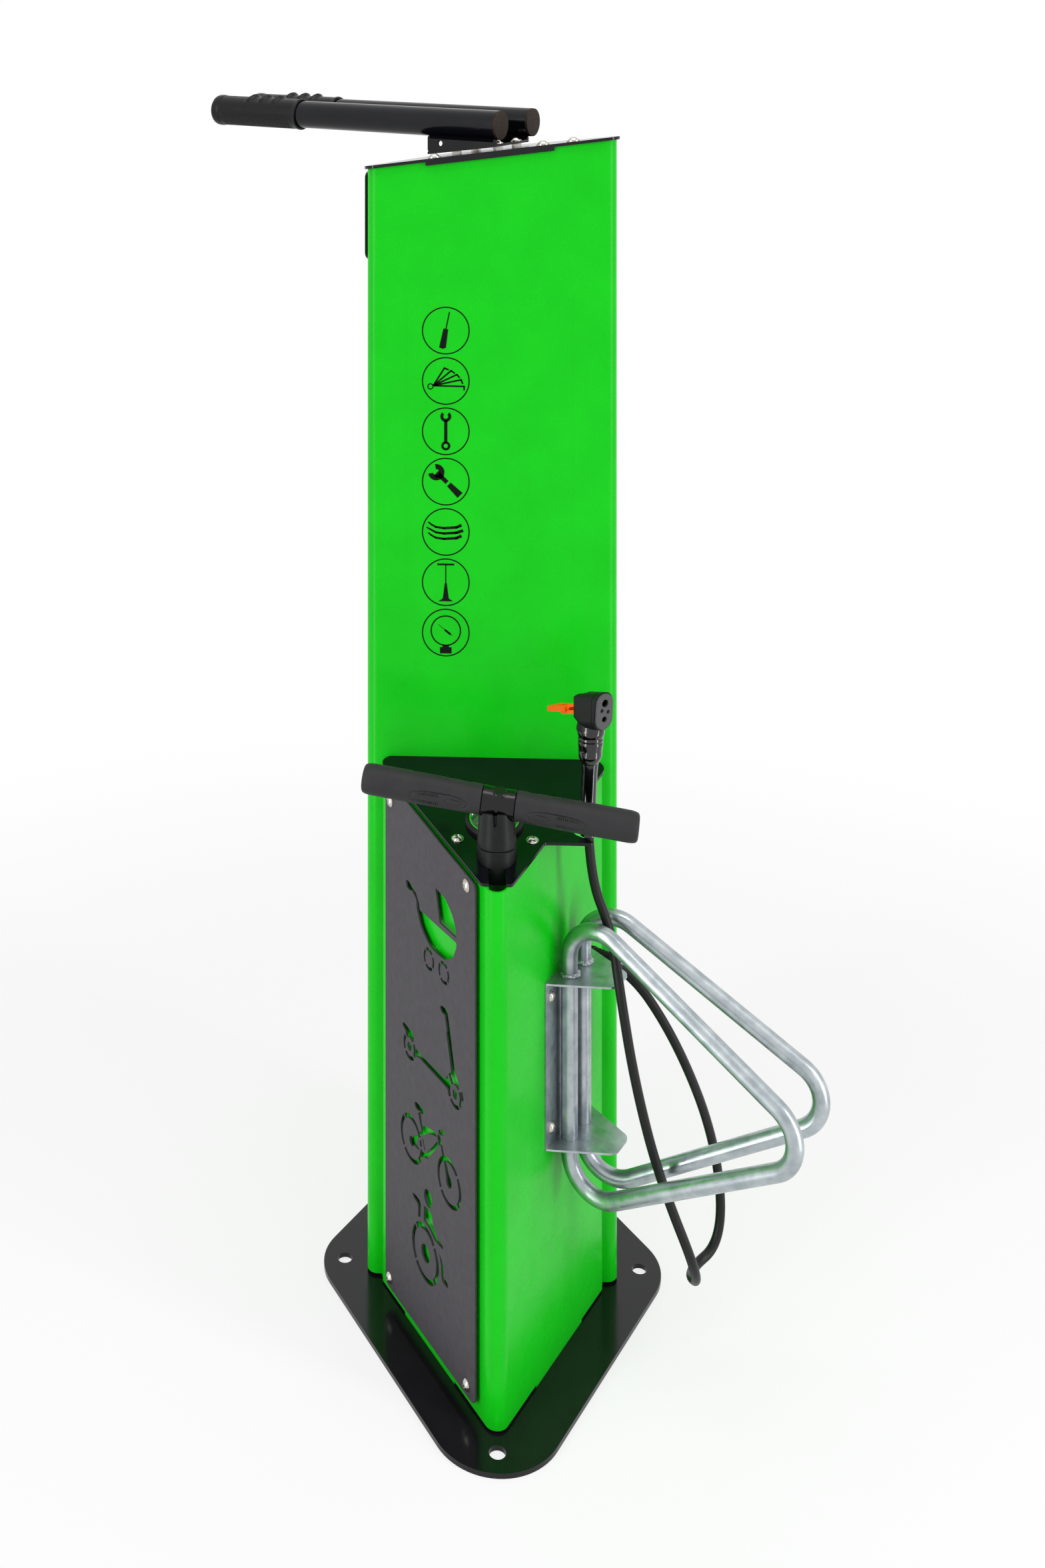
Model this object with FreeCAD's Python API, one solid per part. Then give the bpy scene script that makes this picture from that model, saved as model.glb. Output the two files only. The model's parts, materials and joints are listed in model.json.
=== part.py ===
import math
import os
import FreeCAD
import Part

V = FreeCAD.Vector
os.makedirs("parts", exist_ok=True)

# All sizes are in millimetres. The origin is on the floor, in the plane of the column's
# front face and at its middle. +Z is up, the pump side is -Y.

fit_running = 0.05
fit_seat = 0.05
hole_play = 0.3

# Base plate: a rhombus made of two equilateral triangles
plate_half_x = 201.1
plate_half_y = 348.2
plate_mid_y = 27.0
plate_corner = 67.0
plate_thick = 5.0
anchor_hole_r = 8.25
anchor_x = 166.8
anchor_y = 257.2

# Column
sheet = 2.0
column_half = 148.85
column_depth = 257.8
column_corner = 12.1
corner_lift = 3.0
flange_width = 22.0

# Roof plane, taken at mid thickness
roof_z = 1266.57
roof_dx = 0.1159
roof_dy = 0.0669
roof_thick = 3.5
roof_over = 3.5
roof_lip = 4.0
roof_lip_x = (-74.2, 69.5)
roof_screw_y = 15.0
roof_screw_x = (-64.6, 58.0, 92.0)

# Housing of the pump
housing_off = 110.5
housing_front_r = 12.5
housing_back_r = 8.0
housing_gap_half = 95.0

# Shelf, taken at its top face
shelf_z = 590.0
shelf_dy = 0.2562
shelf_thick = 3.0
shelf_off = 113.2
shelf_screw = (38.5, -136.0)

# Pump
pump_x = 1.2
pump_y = -160.0
barrel_r = 19.0
barrel_in_r = 17.0
collar_r = 20.0
collar_top = 560.0
rod_r = 4.0
handle_z = 603.2
handle_turn = -7.5
# The rod has play, so the cross bar stands a little out of level and off centre
handle_tilt = 6.3
handle_shift = 2.0
handle_half = 140.3
hub_half = 17.0
cross_r = 14.6
core_start = 11.0

# Gauge, on the shelf
gauge_y = -109.5
boot_r = 30.5

# Hose and pump head
hose_r = 5.0
hose_in_r = 3.0
hose_x = 96.0
hose_y = -124.5
hose_top = 590.0
head_turn = math.degrees(math.atan2(-0.82, 0.57))

# Wheel holder, on the right side of the housing
loop_tube_r = 8.6
loop_tube_in_r = 6.3
loop_low = 162.0
loop_high = 486.0
loop_bend = 35.0
leg_dist = 12.8
leg_front_t = -57.6
leg_back_t = -24.8
loop_spread = 6.0

# Arms, on the roof
arm_r = 16.85
arm_in_r = 14.25
arm_rise = math.atan(0.0845)
arm_w = (36.0, 114.0)
arm_z = (1299.4, 1307.2)
arm_u = (7.3, 6.2)
grip_start = 281.0
grip_end = 416.0
grip_r = 18.8
grip_rim_r = 19.5

sin60 = math.sin(math.radians(60))


def save(name, shape):
    shape = shape.removeSplitter() if len(shape.Solids) == 1 else shape
    shape.exportStep("parts/" + name + ".step")
    print(name, "solids", len(shape.Solids), "volume %.0f" % shape.Volume, "valid", shape.isValid())


def rounded_wire(corners, z=0.0):
    edges = []
    begins = []
    ends = []
    arcs = []
    count = len(corners)
    for i in range(count):
        before = corners[i - 1]
        here = corners[i]
        after = corners[(i + 1) % count]
        point = V(here[0], here[1], z)
        radius = here[2] if len(here) > 2 else 0.0
        a = V(before[0], before[1], z) - point
        b = V(after[0], after[1], z) - point
        if radius <= 0 or a.getAngle(b) > math.pi - 0.01:
            begins.append(point)
            ends.append(point)
            arcs.append(None)
            continue
        a.normalize()
        b.normalize()
        half = a.getAngle(b) / 2
        reach = radius / math.tan(half)
        middle = (a + b).normalize()
        centre = point + middle * (radius / math.sin(half))
        begins.append(point + a * reach)
        ends.append(point + b * reach)
        arcs.append(centre - middle * radius)
    for i in range(count):
        if arcs[i] is not None:
            edges.append(Part.Arc(begins[i], arcs[i], ends[i]).toShape())
        nxt = begins[(i + 1) % count]
        if ends[i].distanceToPoint(nxt) > 1e-6:
            edges.append(Part.makeLine(ends[i], nxt))
    return Part.Wire(edges)


def prism(corners, z0, z1):
    return Part.Face(rounded_wire(corners, z0)).extrude(V(0, 0, z1 - z0))


def slab(z, dx, dy, tall):
    half = 700.0
    pts = [V(x, y, z + dx * x + dy * y)
           for x, y in ((-half, -half), (half, -half), (half, half), (-half, half), (-half, -half))]
    return Part.Face(Part.makePolygon(pts)).extrude(V(0, 0, tall))


def box(x0, x1, y0, y1, z0, z1):
    return Part.makeBox(x1 - x0, y1 - y0, z1 - z0, V(x0, y0, z0))


def turned(shape, degrees, centre=V(0, 0, 0), axis=V(0, 0, 1)):
    done = shape.copy()
    done.rotate(centre, axis, degrees)
    return done


def moved(shape, x, y, z):
    done = shape.copy()
    done.translate(V(x, y, z))
    return done


def aimed(shape, position, direction):
    done = shape.copy()
    lay = FreeCAD.Placement(position, FreeCAD.Rotation(V(0, 0, 1), direction))
    done.Placement = lay.multiply(done.Placement)
    return done


def revolved(profile, x=0.0, y=0.0, z=0.0):
    pts = [V(r, 0, h) for r, h in profile]
    pts.append(pts[0])
    ring = Part.Face(Part.makePolygon(pts)).revolve(V(0, 0, 0), V(0, 0, 1), 360)
    return moved(ring, x, y, z)


def tube(r_out, r_in, z0, z1, x=0.0, y=0.0):
    body = Part.makeCylinder(r_out, z1 - z0, V(x, y, z0))
    return body.cut(Part.makeCylinder(r_in, z1 - z0 + 2, V(x, y, z0 - 1)))


# Faces of the housing and the column: local x runs along the face, local y is the distance
# from the origin outward, z is up.
def on_right(shape):
    return turned(shape, -120)


def on_left(shape):
    return turned(shape, 120)


def on_rear_left(shape):
    return turned(shape, 60)


def right_point(t, dist, z):
    return V(dist * sin60 + t * 0.5, -dist * 0.5 + t * sin60, z)


right_normal = V(sin60, -0.5, 0)
roof_normal = V(-roof_dx, -roof_dy, 1).normalize()
shelf_normal = V(0, -shelf_dy, 1).normalize()


def dome_screw(head_r, head_h, shank_r, length, washer_r, washer_t):
    ball = (head_r * head_r + head_h * head_h) / (2 * head_h)
    head = Part.makeSphere(ball, V(0, 0, washer_t + head_h - ball))
    head = head.common(Part.makeCylinder(head_r, head_h, V(0, 0, washer_t)))
    recess = Part.makeCylinder(head_r * 0.42, head_h * 0.55, V(0, 0, washer_t + head_h * 0.5))
    pin = Part.makeCylinder(head_r * 0.14, head_h * 0.4, V(0, 0, washer_t + head_h * 0.45))
    shank = Part.makeCylinder(shank_r, length, V(0, 0, -length))
    body = head.cut(recess).fuse(pin).fuse(shank)
    if washer_t > 0:
        body = body.fuse(Part.makeCylinder(washer_r, washer_t))
    return body


def hex_nut(across, height, bore):
    r = across / 2 / math.cos(math.pi / 6)
    pts = [V(r * math.cos(math.radians(60 * k)), r * math.sin(math.radians(60 * k)), 0) for k in range(7)]
    nut = Part.Face(Part.makePolygon(pts)).extrude(V(0, 0, height))
    return nut.cut(Part.makeCylinder(bore, height + 2, V(0, 0, -1)))


def joined(shapes):
    return Part.makeCompound(shapes)


def pipe(points, share, radius, closed=False, bend=None):
    # Straight runs joined by tangent arcs
    count = len(points)
    pieces = []
    begins = {}
    ends = {}
    radii = []
    for i in range(count):
        if not closed and i in (0, count - 1):
            begins[i] = points[i]
            ends[i] = points[i]
            continue
        point = points[i]
        a = points[i - 1] - point
        b = points[(i + 1) % count] - point
        short = min(a.Length, b.Length)
        a.normalize()
        b.normalize()
        half_turn = (math.pi - a.getAngle(b)) / 2
        r = bend if bend else share * short / math.tan(half_turn)
        reach = r * math.tan(half_turn)
        radii.append(r)
        centre = point + (a + b).normalize() * (r / math.cos(half_turn))
        begins[i] = point + a * reach
        ends[i] = point + b * reach
        axis = (a * -1).cross(b)
        disc = Part.Face(Part.Wire([Part.makeCircle(radius, begins[i], a * -1)]))
        pieces.append(disc.revolve(centre, axis, math.degrees(2 * half_turn)))
    for i in range(count if closed else count - 1):
        start = ends[i]
        stop = begins[(i + 1) % count]
        run = stop - start
        if run.Length > 1e-6:
            pieces.append(Part.makeCylinder(radius, run.Length, start, run))
    whole = pieces[0].multiFuse(pieces[1:])
    return whole.removeSplitter(), radii


# Base plate
plate_outline = [
    (-plate_half_x, plate_mid_y, plate_corner),
    (0, plate_mid_y - plate_half_y, plate_corner),
    (plate_half_x, plate_mid_y, plate_corner),
    (0, plate_mid_y + plate_half_y, plate_corner),
]
base = prism(plate_outline, 0, plate_thick)
for x, y in ((anchor_x, 0), (-anchor_x, 0), (0, anchor_y), (0, -anchor_y)):
    base = base.cut(Part.makeCylinder(anchor_hole_r, plate_thick + 2, V(x, plate_mid_y + y, -1)))
save("base_plate", base)


# Column
def triangle(off, corner):
    grow = off / 0.5
    slope = off / math.tan(math.radians(30))
    return [
        (-column_half - slope, -off, corner),
        (column_half + slope, -off, corner),
        (0, column_depth + grow, corner),
    ]


top = 1400.0
column = prism(triangle(0, column_corner), plate_thick, top)
column = column.cut(prism(triangle(-sheet, column_corner - sheet), plate_thick - 1, top + 1))
roof_under = roof_z - roof_thick / 2 / roof_normal.z
ring = prism(triangle(-sheet + 0.1, column_corner - sheet), 1100, top)
ring = ring.cut(prism(triangle(-flange_width, 3.0), 1000, top + 1))
ring = ring.common(slab(roof_under - sheet, roof_dx, roof_dy, sheet))
column = column.common(slab(roof_under - 1500, roof_dx, roof_dy, 1500)).fuse(ring)
corner_in = column_corner / math.sin(math.radians(30))
arc_centres = [
    (-column_half + corner_in * sin60, corner_in * 0.5),
    (column_half - corner_in * sin60, corner_in * 0.5),
    (0, column_depth - corner_in),
]
for x, y in arc_centres:
    column = column.cut(Part.makeCylinder(column_corner + 1, corner_lift, V(x, y, plate_thick)))


def roof_point(x, y, lift=0.0):
    return V(x, y, roof_z + roof_dx * x + roof_dy * y + lift)


roof_half = roof_thick / 2 / roof_normal.z
screw_r = 3.0
for x in roof_screw_x:
    start = roof_point(x, roof_screw_y) - roof_normal * 20
    column = column.cut(Part.makeCylinder(screw_r + hole_play, 40, start, roof_normal))

# Holes in the column's front face for the screws that hold the housing
housing_screw_z = (60.0, 300.0, 520.0)
housing_screw_x = 106.0
for z in housing_screw_z:
    for x in (-housing_screw_x, housing_screw_x):
        column = column.cut(Part.makeCylinder(2.5 + hole_play, 8, V(x, 4, z), V(0, -1, 0)))

# Roof
roof = prism(triangle(roof_over, column_corner + roof_over), 1100, top)
roof = roof.common(slab(roof_z - roof_half, roof_dx, roof_dy, 2 * roof_half))
lip = box(roof_lip_x[0], roof_lip_x[1], -roof_over, -roof_over + 2, 1100, top)
lip = lip.common(slab(roof_z - roof_half - roof_lip, roof_dx, roof_dy, roof_lip + roof_half))
roof = roof.fuse(lip)
for x in roof_screw_x:
    start = roof_point(x, roof_screw_y) - roof_normal * 20
    roof = roof.cut(Part.makeCylinder(screw_r + hole_play, 40, start, roof_normal))

bolt_w = (52.0, 98.0)
bolt_u = (20.0, 75.0)
bolt_places = [(w, u) for w in bolt_w for u in bolt_u]


def arm_frame_point(w, u, z):
    return V(w * 0.5 - u * sin60, w * sin60 + u * 0.5, z)


for w, u in bolt_places:
    p = arm_frame_point(w, u, 0)
    start = roof_point(p.x, p.y) - roof_normal * 20
    roof = roof.cut(Part.makeCylinder(screw_r + hole_play, 40, start, roof_normal))
save("roof_plate", roof)

screws = []
nuts = []
for x in roof_screw_x:
    seat = roof_point(x, roof_screw_y) + roof_normal * (roof_thick / 2)
    screws.append(aimed(dome_screw(6.0, 3.9, screw_r, 14.0, 7.5, 1.3), seat, roof_normal))
    below = roof_point(x, roof_screw_y) - roof_normal * (roof_thick / 2 + sheet + 5.0)
    nuts.append(aimed(hex_nut(10.0, 5.0, screw_r + fit_seat), below, roof_normal))
save("roof_screws", joined(screws))
save("roof_nuts", joined(nuts))

# Arm bracket, built in the arms' frame: x = w, y = u
bracket_gap = 3.5
bracket_thick = 3.0
bracket_u = (13.4, 105.0)
lw = roof_dx * 0.5 + roof_dy * sin60
lu = -roof_dx * sin60 + roof_dy * 0.5
bracket_low = roof_z + roof_half + bracket_gap
vertical_thick = bracket_thick / roof_normal.z
plate_plan = [
    (arm_w[0] - 1.5, bracket_u[0]),
    (arm_w[1] + 1.5, bracket_u[0]),
    (arm_w[1] + 1.5, bracket_u[1]),
    (arm_w[0] - 1.5, bracket_u[1]),
]
bracket = prism(plate_plan, 1100, top).common(slab(bracket_low, lw, lu, vertical_thick))
tilt = math.degrees(arm_rise)
arm_dir = V(0, math.cos(arm_rise), math.sin(arm_rise))


def upright(corners, x0, x1):
    # A plate drawn in the y-z plane
    flat = Part.Face(rounded_wire(corners)).extrude(V(0, 0, x1 - x0))
    flat.rotate(V(0, 0, 0), V(1, 0, 0), 90)
    flat.rotate(V(0, 0, 0), V(0, 0, 1), 90)
    return moved(flat, x0, 0, 0)


welds = []
for k in (0, 1):
    w = arm_w[k]
    low = [bracket_low + lw * w + lu * u for u in bracket_u]
    high = [arm_z[k] + (u - arm_u[k]) * math.tan(arm_rise) - arm_r / math.cos(arm_rise) for u in bracket_u]
    corners = [
        (bracket_u[0], low[0], 1.5),
        (bracket_u[1], low[1], 6.0),
        (bracket_u[1], high[1], 2.0),
        (bracket_u[0], high[0], 1.0),
    ]
    bracket = bracket.fuse(upright(corners, w - 1.5, w + 1.5))
    # Weld beads on both sides of the plate, under the tube
    start = V(w, bracket_u[0] + 3, arm_z[k] + (bracket_u[0] + 3 - arm_u[k]) * math.tan(arm_rise))
    length = (bracket_u[1] - bracket_u[0] - 8) / math.cos(arm_rise)
    section = Part.Face(Part.makePolygon([
        V(-4.6, 0, -arm_r + 1.1), V(4.6, 0, -arm_r + 1.1), V(1.9, 0, -arm_r - 3.2),
        V(-1.9, 0, -arm_r - 3.2), V(-4.6, 0, -arm_r + 1.1)]))
    bead = section.extrude(V(0, length, 0))
    bead = bead.cut(Part.makeCylinder(arm_r + 0.03, length + 20, V(0, -10, 0), V(0, 1, 0)))
    bead.rotate(V(0, 0, 0), V(1, 0, 0), tilt)
    bead = moved(bead, start.x, start.y, start.z)
    bead = bead.cut(box(w - 1.52, w + 1.52, -20, 150, 1200, 1400))
    welds.append(bead)

# The two cut-outs of the flanges are round here
for w in arm_w:
    for u in (88.0,):
        z = bracket_low + lw * w + lu * u + 11.0
        bracket = bracket.cut(Part.makeCylinder(3.2, 8, V(w - 4, u, z), V(1, 0, 0)))

bolts = []
spacers = []
bracket_nuts = []
bracket_turned = turned(bracket, 60)
for w, u in bolt_places:
    p = arm_frame_point(w, u, 0)
    axis_point = roof_point(p.x, p.y)
    hole = Part.makeCylinder(screw_r + hole_play, 40, axis_point - roof_normal * 20, roof_normal)
    bracket_turned = bracket_turned.cut(hole)
    seat = axis_point + roof_normal * (roof_thick / 2 + bracket_gap * roof_normal.z + bracket_thick)
    bolts.append(aimed(dome_screw(5.5, 3.6, screw_r, 20.0, 6.5, 1.2), seat, roof_normal))
    rest = axis_point + roof_normal * (roof_thick / 2)
    spacers.append(aimed(hex_nut(10.0, bracket_gap * roof_normal.z, screw_r + fit_seat), rest, roof_normal))
    under = axis_point - roof_normal * (roof_thick / 2 + 5.0)
    bracket_nuts.append(aimed(hex_nut(10.0, 5.0, screw_r + fit_seat), under, roof_normal))
save("arm_bracket", bracket_turned)
save("arm_bracket_bolts", joined(bolts))
save("arm_bracket_spacers", joined(spacers))
save("arm_bracket_nuts", joined(bracket_nuts))
save("arm_welds", on_rear_left(joined(welds)))

# The nuts under the roof hang in the column: only the ring at its top may meet them
for k in range(len(bracket_nuts)):
    column = column.cut(bracket_nuts[k].common(column))

# Arms, each built along +Z and then laid on its place
arm_length = grip_end - 4.0 - 3.0
for k, side in ((0, "front"), (1, "back")):
    start = arm_frame_point(arm_w[k], arm_u[k], arm_z[k])
    out = V(-sin60 * math.cos(arm_rise), 0.5 * math.cos(arm_rise), math.sin(arm_rise))
    body = tube(arm_r, arm_in_r, 3.0, grip_end - 4.2)
    # local +X of the grip is turned upward below
    plug = Part.makeCylinder(arm_r - 0.3, 3.0).fuse(Part.makeCylinder(arm_in_r - fit_seat, 12.0, V(0, 0, 3)))
    plug = plug.cut(Part.makeCylinder(arm_in_r - 2.5, 20.0, V(0, 0, 3.5)))
    grip = revolved([
        (arm_r + 0.1, grip_start), (grip_rim_r, grip_start), (grip_rim_r, grip_start + 4.5),
        (grip_r, grip_start + 5.5), (grip_r, grip_end - 14), (grip_rim_r, grip_end - 12),
        (grip_rim_r, grip_end - 5), (grip_rim_r - 1.5, grip_end - 1.6), (grip_rim_r - 4.5, grip_end),
        (0, grip_end), (0, grip_end - 4), (arm_r + 0.1, grip_end - 4)])
    for i in range(3):
        z = grip_start + 28.0 + 20.0 * i
        rib = Part.makeCylinder(grip_r - 0.2, 11.7, V(3.9, 0, z))
        rib = rib.cut(Part.makeCylinder(arm_r + 0.6, 13, V(0, 0, z - 0.5)))
        grip = grip.fuse(rib)
    lay = FreeCAD.Rotation(V(0, 0, 1), out)
    up = lay.inverted().multVec(V(0, 0, 1))
    spin = math.degrees(math.atan2(up.y, up.x))
    for name, shape in (("arm_tube_" + side, body), ("arm_plug_" + side, plug), ("arm_grip_" + side, grip)):
        piece = turned(shape, spin)
        save(name, aimed(piece, start, out))

# Cover on the column's rear left side
cover_dist = column_half * sin60
cover_face = Part.Face(rounded_wire([(-60, 1147, 8), (209, 1147, 8), (209, 1247, 8), (-60, 1247, 8)]))
cover = cover_face.extrude(V(0, 0, 2))
cover.rotate(V(0, 0, 0), V(1, 0, 0), 90)
cover = moved(cover, 0, cover_dist + 2, 0)
cover_screws = []
cover_holes = []
for x in (-50.0, 199.0):
    for z in (1156.0, 1238.0):
        seat = V(x, cover_dist + 2, z)
        cover = cover.cut(Part.makeCylinder(2.5 + hole_play, 20, V(x, cover_dist - 10, z), V(0, 1, 0)))
        cover_holes.append(Part.makeCylinder(2.5 + hole_play, 20, V(x, cover_dist - 10, z), V(0, 1, 0)))
        cover_screws.append(aimed(dome_screw(4.8, 2.8, 2.5, 9.0, 5.6, 0.8), seat, V(0, 1, 0)))
save("rear_cover", on_rear_left(cover))
save("rear_cover_screws", on_rear_left(joined(cover_screws)))
for hole in cover_holes:
    column = column.cut(on_rear_left(hole))
save("column_shell", column)

# Label on the column's front face
label = Part.Face(rounded_wire([(-96, 693, 4), (90, 693, 4), (90, 1103, 4), (-96, 1103, 4)]))
label = label.extrude(V(0, 0, 0.15))
label.rotate(V(0, 0, 0), V(1, 0, 0), 90)
save("tool_label", label)


# Housing of the pump
def housing_plan(shrink, front_r, back_r):
    off = housing_off - shrink
    half = (off - 0.5 * shrink) / sin60
    return [(-half, -shrink, back_r), (0, -off / 0.5, front_r), (half, -shrink, back_r)]


shelf_under = shelf_z - shelf_thick / shelf_normal.z
slot_x = (-7.7, 9.9)
housing = prism(housing_plan(0, housing_front_r, housing_back_r), plate_thick, 700)
housing = housing.cut(prism(housing_plan(sheet, housing_front_r - sheet, housing_back_r - sheet), 0, 701))
housing = housing.cut(box(-housing_gap_half, housing_gap_half, -sheet - 1, 1, 0, 701))
rim = prism(housing_plan(sheet - 0.1, housing_front_r - sheet, housing_back_r - sheet), 300, 700)
rim = rim.cut(prism(housing_plan(20.0, 2.0, 2.0), 200, 701))
rim = rim.cut(box(-200, 200, -22, 1, 200, 701))
rim = rim.common(slab(shelf_under - sheet, 0, shelf_dy, sheet))
rim = rim.cut(box(slot_x[0], slot_x[1], -230.0, -165, 450, 700))
housing = housing.common(slab(shelf_under - 700, 0, shelf_dy, 700)).fuse(rim)
housing = housing.cut(Part.makeCylinder(collar_r + 1.5, 200, V(pump_x, pump_y, 450)))
# Only the middle of each side reaches the base plate
feet_t = (-108.0, -1.0)
keep = on_right(box(-feet_t[1], -feet_t[0], housing_off - 5, housing_off + 5, plate_thick, plate_thick + 2.5))
keep = keep.fuse(on_left(box(feet_t[0], feet_t[1], housing_off - 5, housing_off + 5,
                             plate_thick, plate_thick + 2.5)))
lift = box(-200, 200, -300, 5, plate_thick, plate_thick + 2.5).cut(keep)
housing = housing.cut(lift)
for z in housing_screw_z:
    for x in (-housing_screw_x, housing_screw_x):
        housing = housing.cut(Part.makeCylinder(2.5 + hole_play, 10, V(x, 4, z), V(0, -1, 0)))
housing_screws = []
for z in housing_screw_z:
    for x in (-housing_screw_x, housing_screw_x):
        housing_screws.append(aimed(dome_screw(4.6, 2.4, 2.5, 7.0, 5.2, 0.0), V(x, -sheet, z), V(0, -1, 0)))
save("housing_screws", joined(housing_screws))

# Shelf
wing_front = right_point(-69.8, 155.0, 0)
wing_back = right_point(-50.5, 155.0, 0)
wing_root = right_point(-27.0, 115.0, 0)
shelf_outline = [
    (-(shelf_off - 0.2) / sin60, -0.4, 11.5),
    (-15.2, -200.0, 4.0),
    (15.6, -200.0, 4.0),
    (51.2, -138.0, 4.0),
    (wing_front.x, wing_front.y, 5.0),
    (wing_back.x, wing_back.y, 4.0),
    (wing_root.x, wing_root.y, 8.0),
    ((116.0 - 0.2) / sin60, -0.4, 14.0),
]
shelf = prism(shelf_outline, 400, 700).common(slab(shelf_under, 0, shelf_dy, shelf_z - shelf_under))
shelf = shelf.cut(Part.makeCylinder(collar_r + 0.5, 300, V(pump_x, pump_y, 450)))
shelf = shelf.cut(box(slot_x[0], slot_x[1], -210, -165, 450, 700))
slot = box(53.0, 67.3, 137.0, 170.0, 450, 700).fuse(Part.makeCylinder(7.15, 250, V(60.15, 137.0, 450)))
shelf = shelf.cut(on_right(slot))
gauge_point = V(0, gauge_y, shelf_z + shelf_dy * gauge_y)
shelf = shelf.cut(Part.makeCylinder(28.2, 40, gauge_point - shelf_normal * 20, shelf_normal))
shelf_screws = []
for side in (-1, 1):
    x = side * shelf_screw[0]
    seat = V(x, shelf_screw[1], shelf_z + shelf_dy * shelf_screw[1])
    hole = Part.makeCylinder(2.5 + hole_play, 40, seat - shelf_normal * 20, shelf_normal)
    shelf = shelf.cut(hole)
    housing = housing.cut(hole)
    shelf_screws.append(aimed(dome_screw(5.5, 3.4, 2.5, 11.0, 6.4, 1.0), seat, shelf_normal))
save("pump_shelf", shelf)
save("shelf_screws", joined(shelf_screws))

# Pictogram panel on the left side: x = t, y = distance, z
panel_gap = 4.0
panel_thick = 2.0
panel_y = housing_off + panel_gap
panel_t = (-159.3, 33.8)
panel_low = 20.0


def panel_top(t):
    return 569.6 + 0.2219 * t


figure_deep = 12.0
figure_web = 2.6


def flat_cut(solid):
    # A figure drawn as (t, z) becomes a cutter through the panel
    laid = turned(solid, 90, V(0, 0, 0), V(1, 0, 0))
    return moved(laid, 0, panel_y + 7, 0)


def poly(points):
    corners = [p if len(p) > 2 else (p[0], p[1], 0.35) for p in points]
    return Part.Face(rounded_wire(corners)).extrude(V(0, 0, figure_deep))


def disc(cx, cy, r):
    return Part.makeCylinder(r, figure_deep, V(cx, cy, 0))


def ring_parts(cx, cy, r_out, r_in, gaps, gap_width):
    ring = disc(cx, cy, r_out).cut(disc(cx, cy, r_in))
    for angle in gaps:
        web = box(0, r_out + 2, -gap_width / 2, gap_width / 2, 0, figure_deep)
        ring = ring.cut(moved(turned(web, angle), cx, cy, 0))
    return ring


figures = []

# Pushchair
figures.append(poly([
    (-14.1, 482.1, 1), (-18.7, 483.9, 2), (-29.6, 480.3), (-36.9, 477.1, 6), (-43.2, 470.2, 8), (-45.2, 463.0, 2),
    (-122.8, 462.0, 2), (-122.6, 457.5, 8), (-115.0, 443.0, 16), (-98.0, 433.9, 16), (-79.0, 433.0, 24),
    (-63.0, 436.0, 24), (-47.0, 447.0, 24), (-38.4, 462.4, 10), (-37.8, 471.4, 4), (-27.8, 476.4, 5),
    (-21.4, 474.4, 3), (-15.9, 475.9, 2)]))
figures.append(poly([
    (-79.1, 500.2, 1), (-99.4, 497.6, 24), (-115.0, 486.6, 24), (-122.8, 471.5, 8), (-121.2, 466.8, 1),
    (-88.0, 467.7, 1)]))
for cx in (-65.2, -96.7):
    figures.append(ring_parts(cx, 420.0, 11.4, 8.0, (48, 139, 222, 315), figure_web))

# Scooter
figures.append(poly([
    (-88.5, 381.5, 1), (-92.4, 384.8, 3), (-101.8, 385.0, 3), (-104.8, 383.0, 2), (-109.6, 367.1),
    (-119.9, 329.5, 3), (-129.6, 321.0), (-125.8, 315.6), (-119.6, 317.6, 9), (-113.4, 315.8),
    (-106.5, 321.9), (-112.2, 326.3), (-101.9, 361.6), (-103.0, 363.9), (-98.8, 377.9, 2), (-92.0, 377.7, 3)]))
figures.append(poly([
    (-33.6, 303.5), (-34.0, 313.0), (-44.5, 311.4, 5), (-100.4, 312.2, 2), (-104.0, 319.3), (-109.4, 314.0, 2),
    (-109.4, 301.0), (-107.2, 299.4), (-104.4, 305.5, 3), (-44.0, 306.2, 5)]))
figures.append(poly([
    (-5.6, 324.6, 1), (-9.0, 327.2, 2), (-24.5, 326.0, 16), (-33.4, 321.6), (-29.4, 316.0), (-22.4, 317.0, 9),
    (-15.6, 315.4), (-13.4, 320.0, 1), (-7.0, 322.4, 2)]))
figures.append(poly([(-131.6, 315.8), (-134.0, 319.0, 1), (-137.4, 310.4), (-133.6, 308.6)]))
for cx, webs in ((-22.4, (46, 138, 216, 320)), (-119.6, (43, 136, 222, 320))):
    figures.append(ring_parts(cx, 307.4, 13.8, 9.6, webs, figure_web))
    figures.append(disc(cx, 307.6, 4.5))

# Bicycle
figures.append(poly([
    (-33.2, 254.2, 1), (-37.4, 256.2, 3), (-53.4, 256.5, 1), (-54.8, 254.3, 1), (-52.5, 251.2, 2),
    (-47.2, 249.7, 1), (-46.3, 251.0, 1), (-40.1, 248.9, 4), (-34.3, 249.6, 3)]))
figures.append(poly([
    (-41.5, 247.5), (-46.9, 250.0), (-51.1, 238.0, 3), (-57.8, 241.6, 12), (-79.4, 247.4), (-81.6, 243.2),
    (-75.3, 241.9, 12), (-64.8, 237.5, 12), (-57.8, 233.1, 12), (-44.2, 223.2), (-42.6, 226.4),
    (-49.9, 232.7, 1), (-48.1, 233.6, 1)]))
figures.append(poly([
    (-29.2, 214.6, 2), (-39.4, 222.4), (-41.6, 219.6), (-35.5, 213.0, 2), (-43.2, 210.7), (-42.8, 208.0),
    (-30.2, 207.8, 2)]))
figures.append(disc(-27.2, 209.0, 5.0))
figures.append(poly([(-52.5, 225.4), (-57.8, 216.5), (-55.6, 215.6), (-50.6, 224.6)]))
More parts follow.
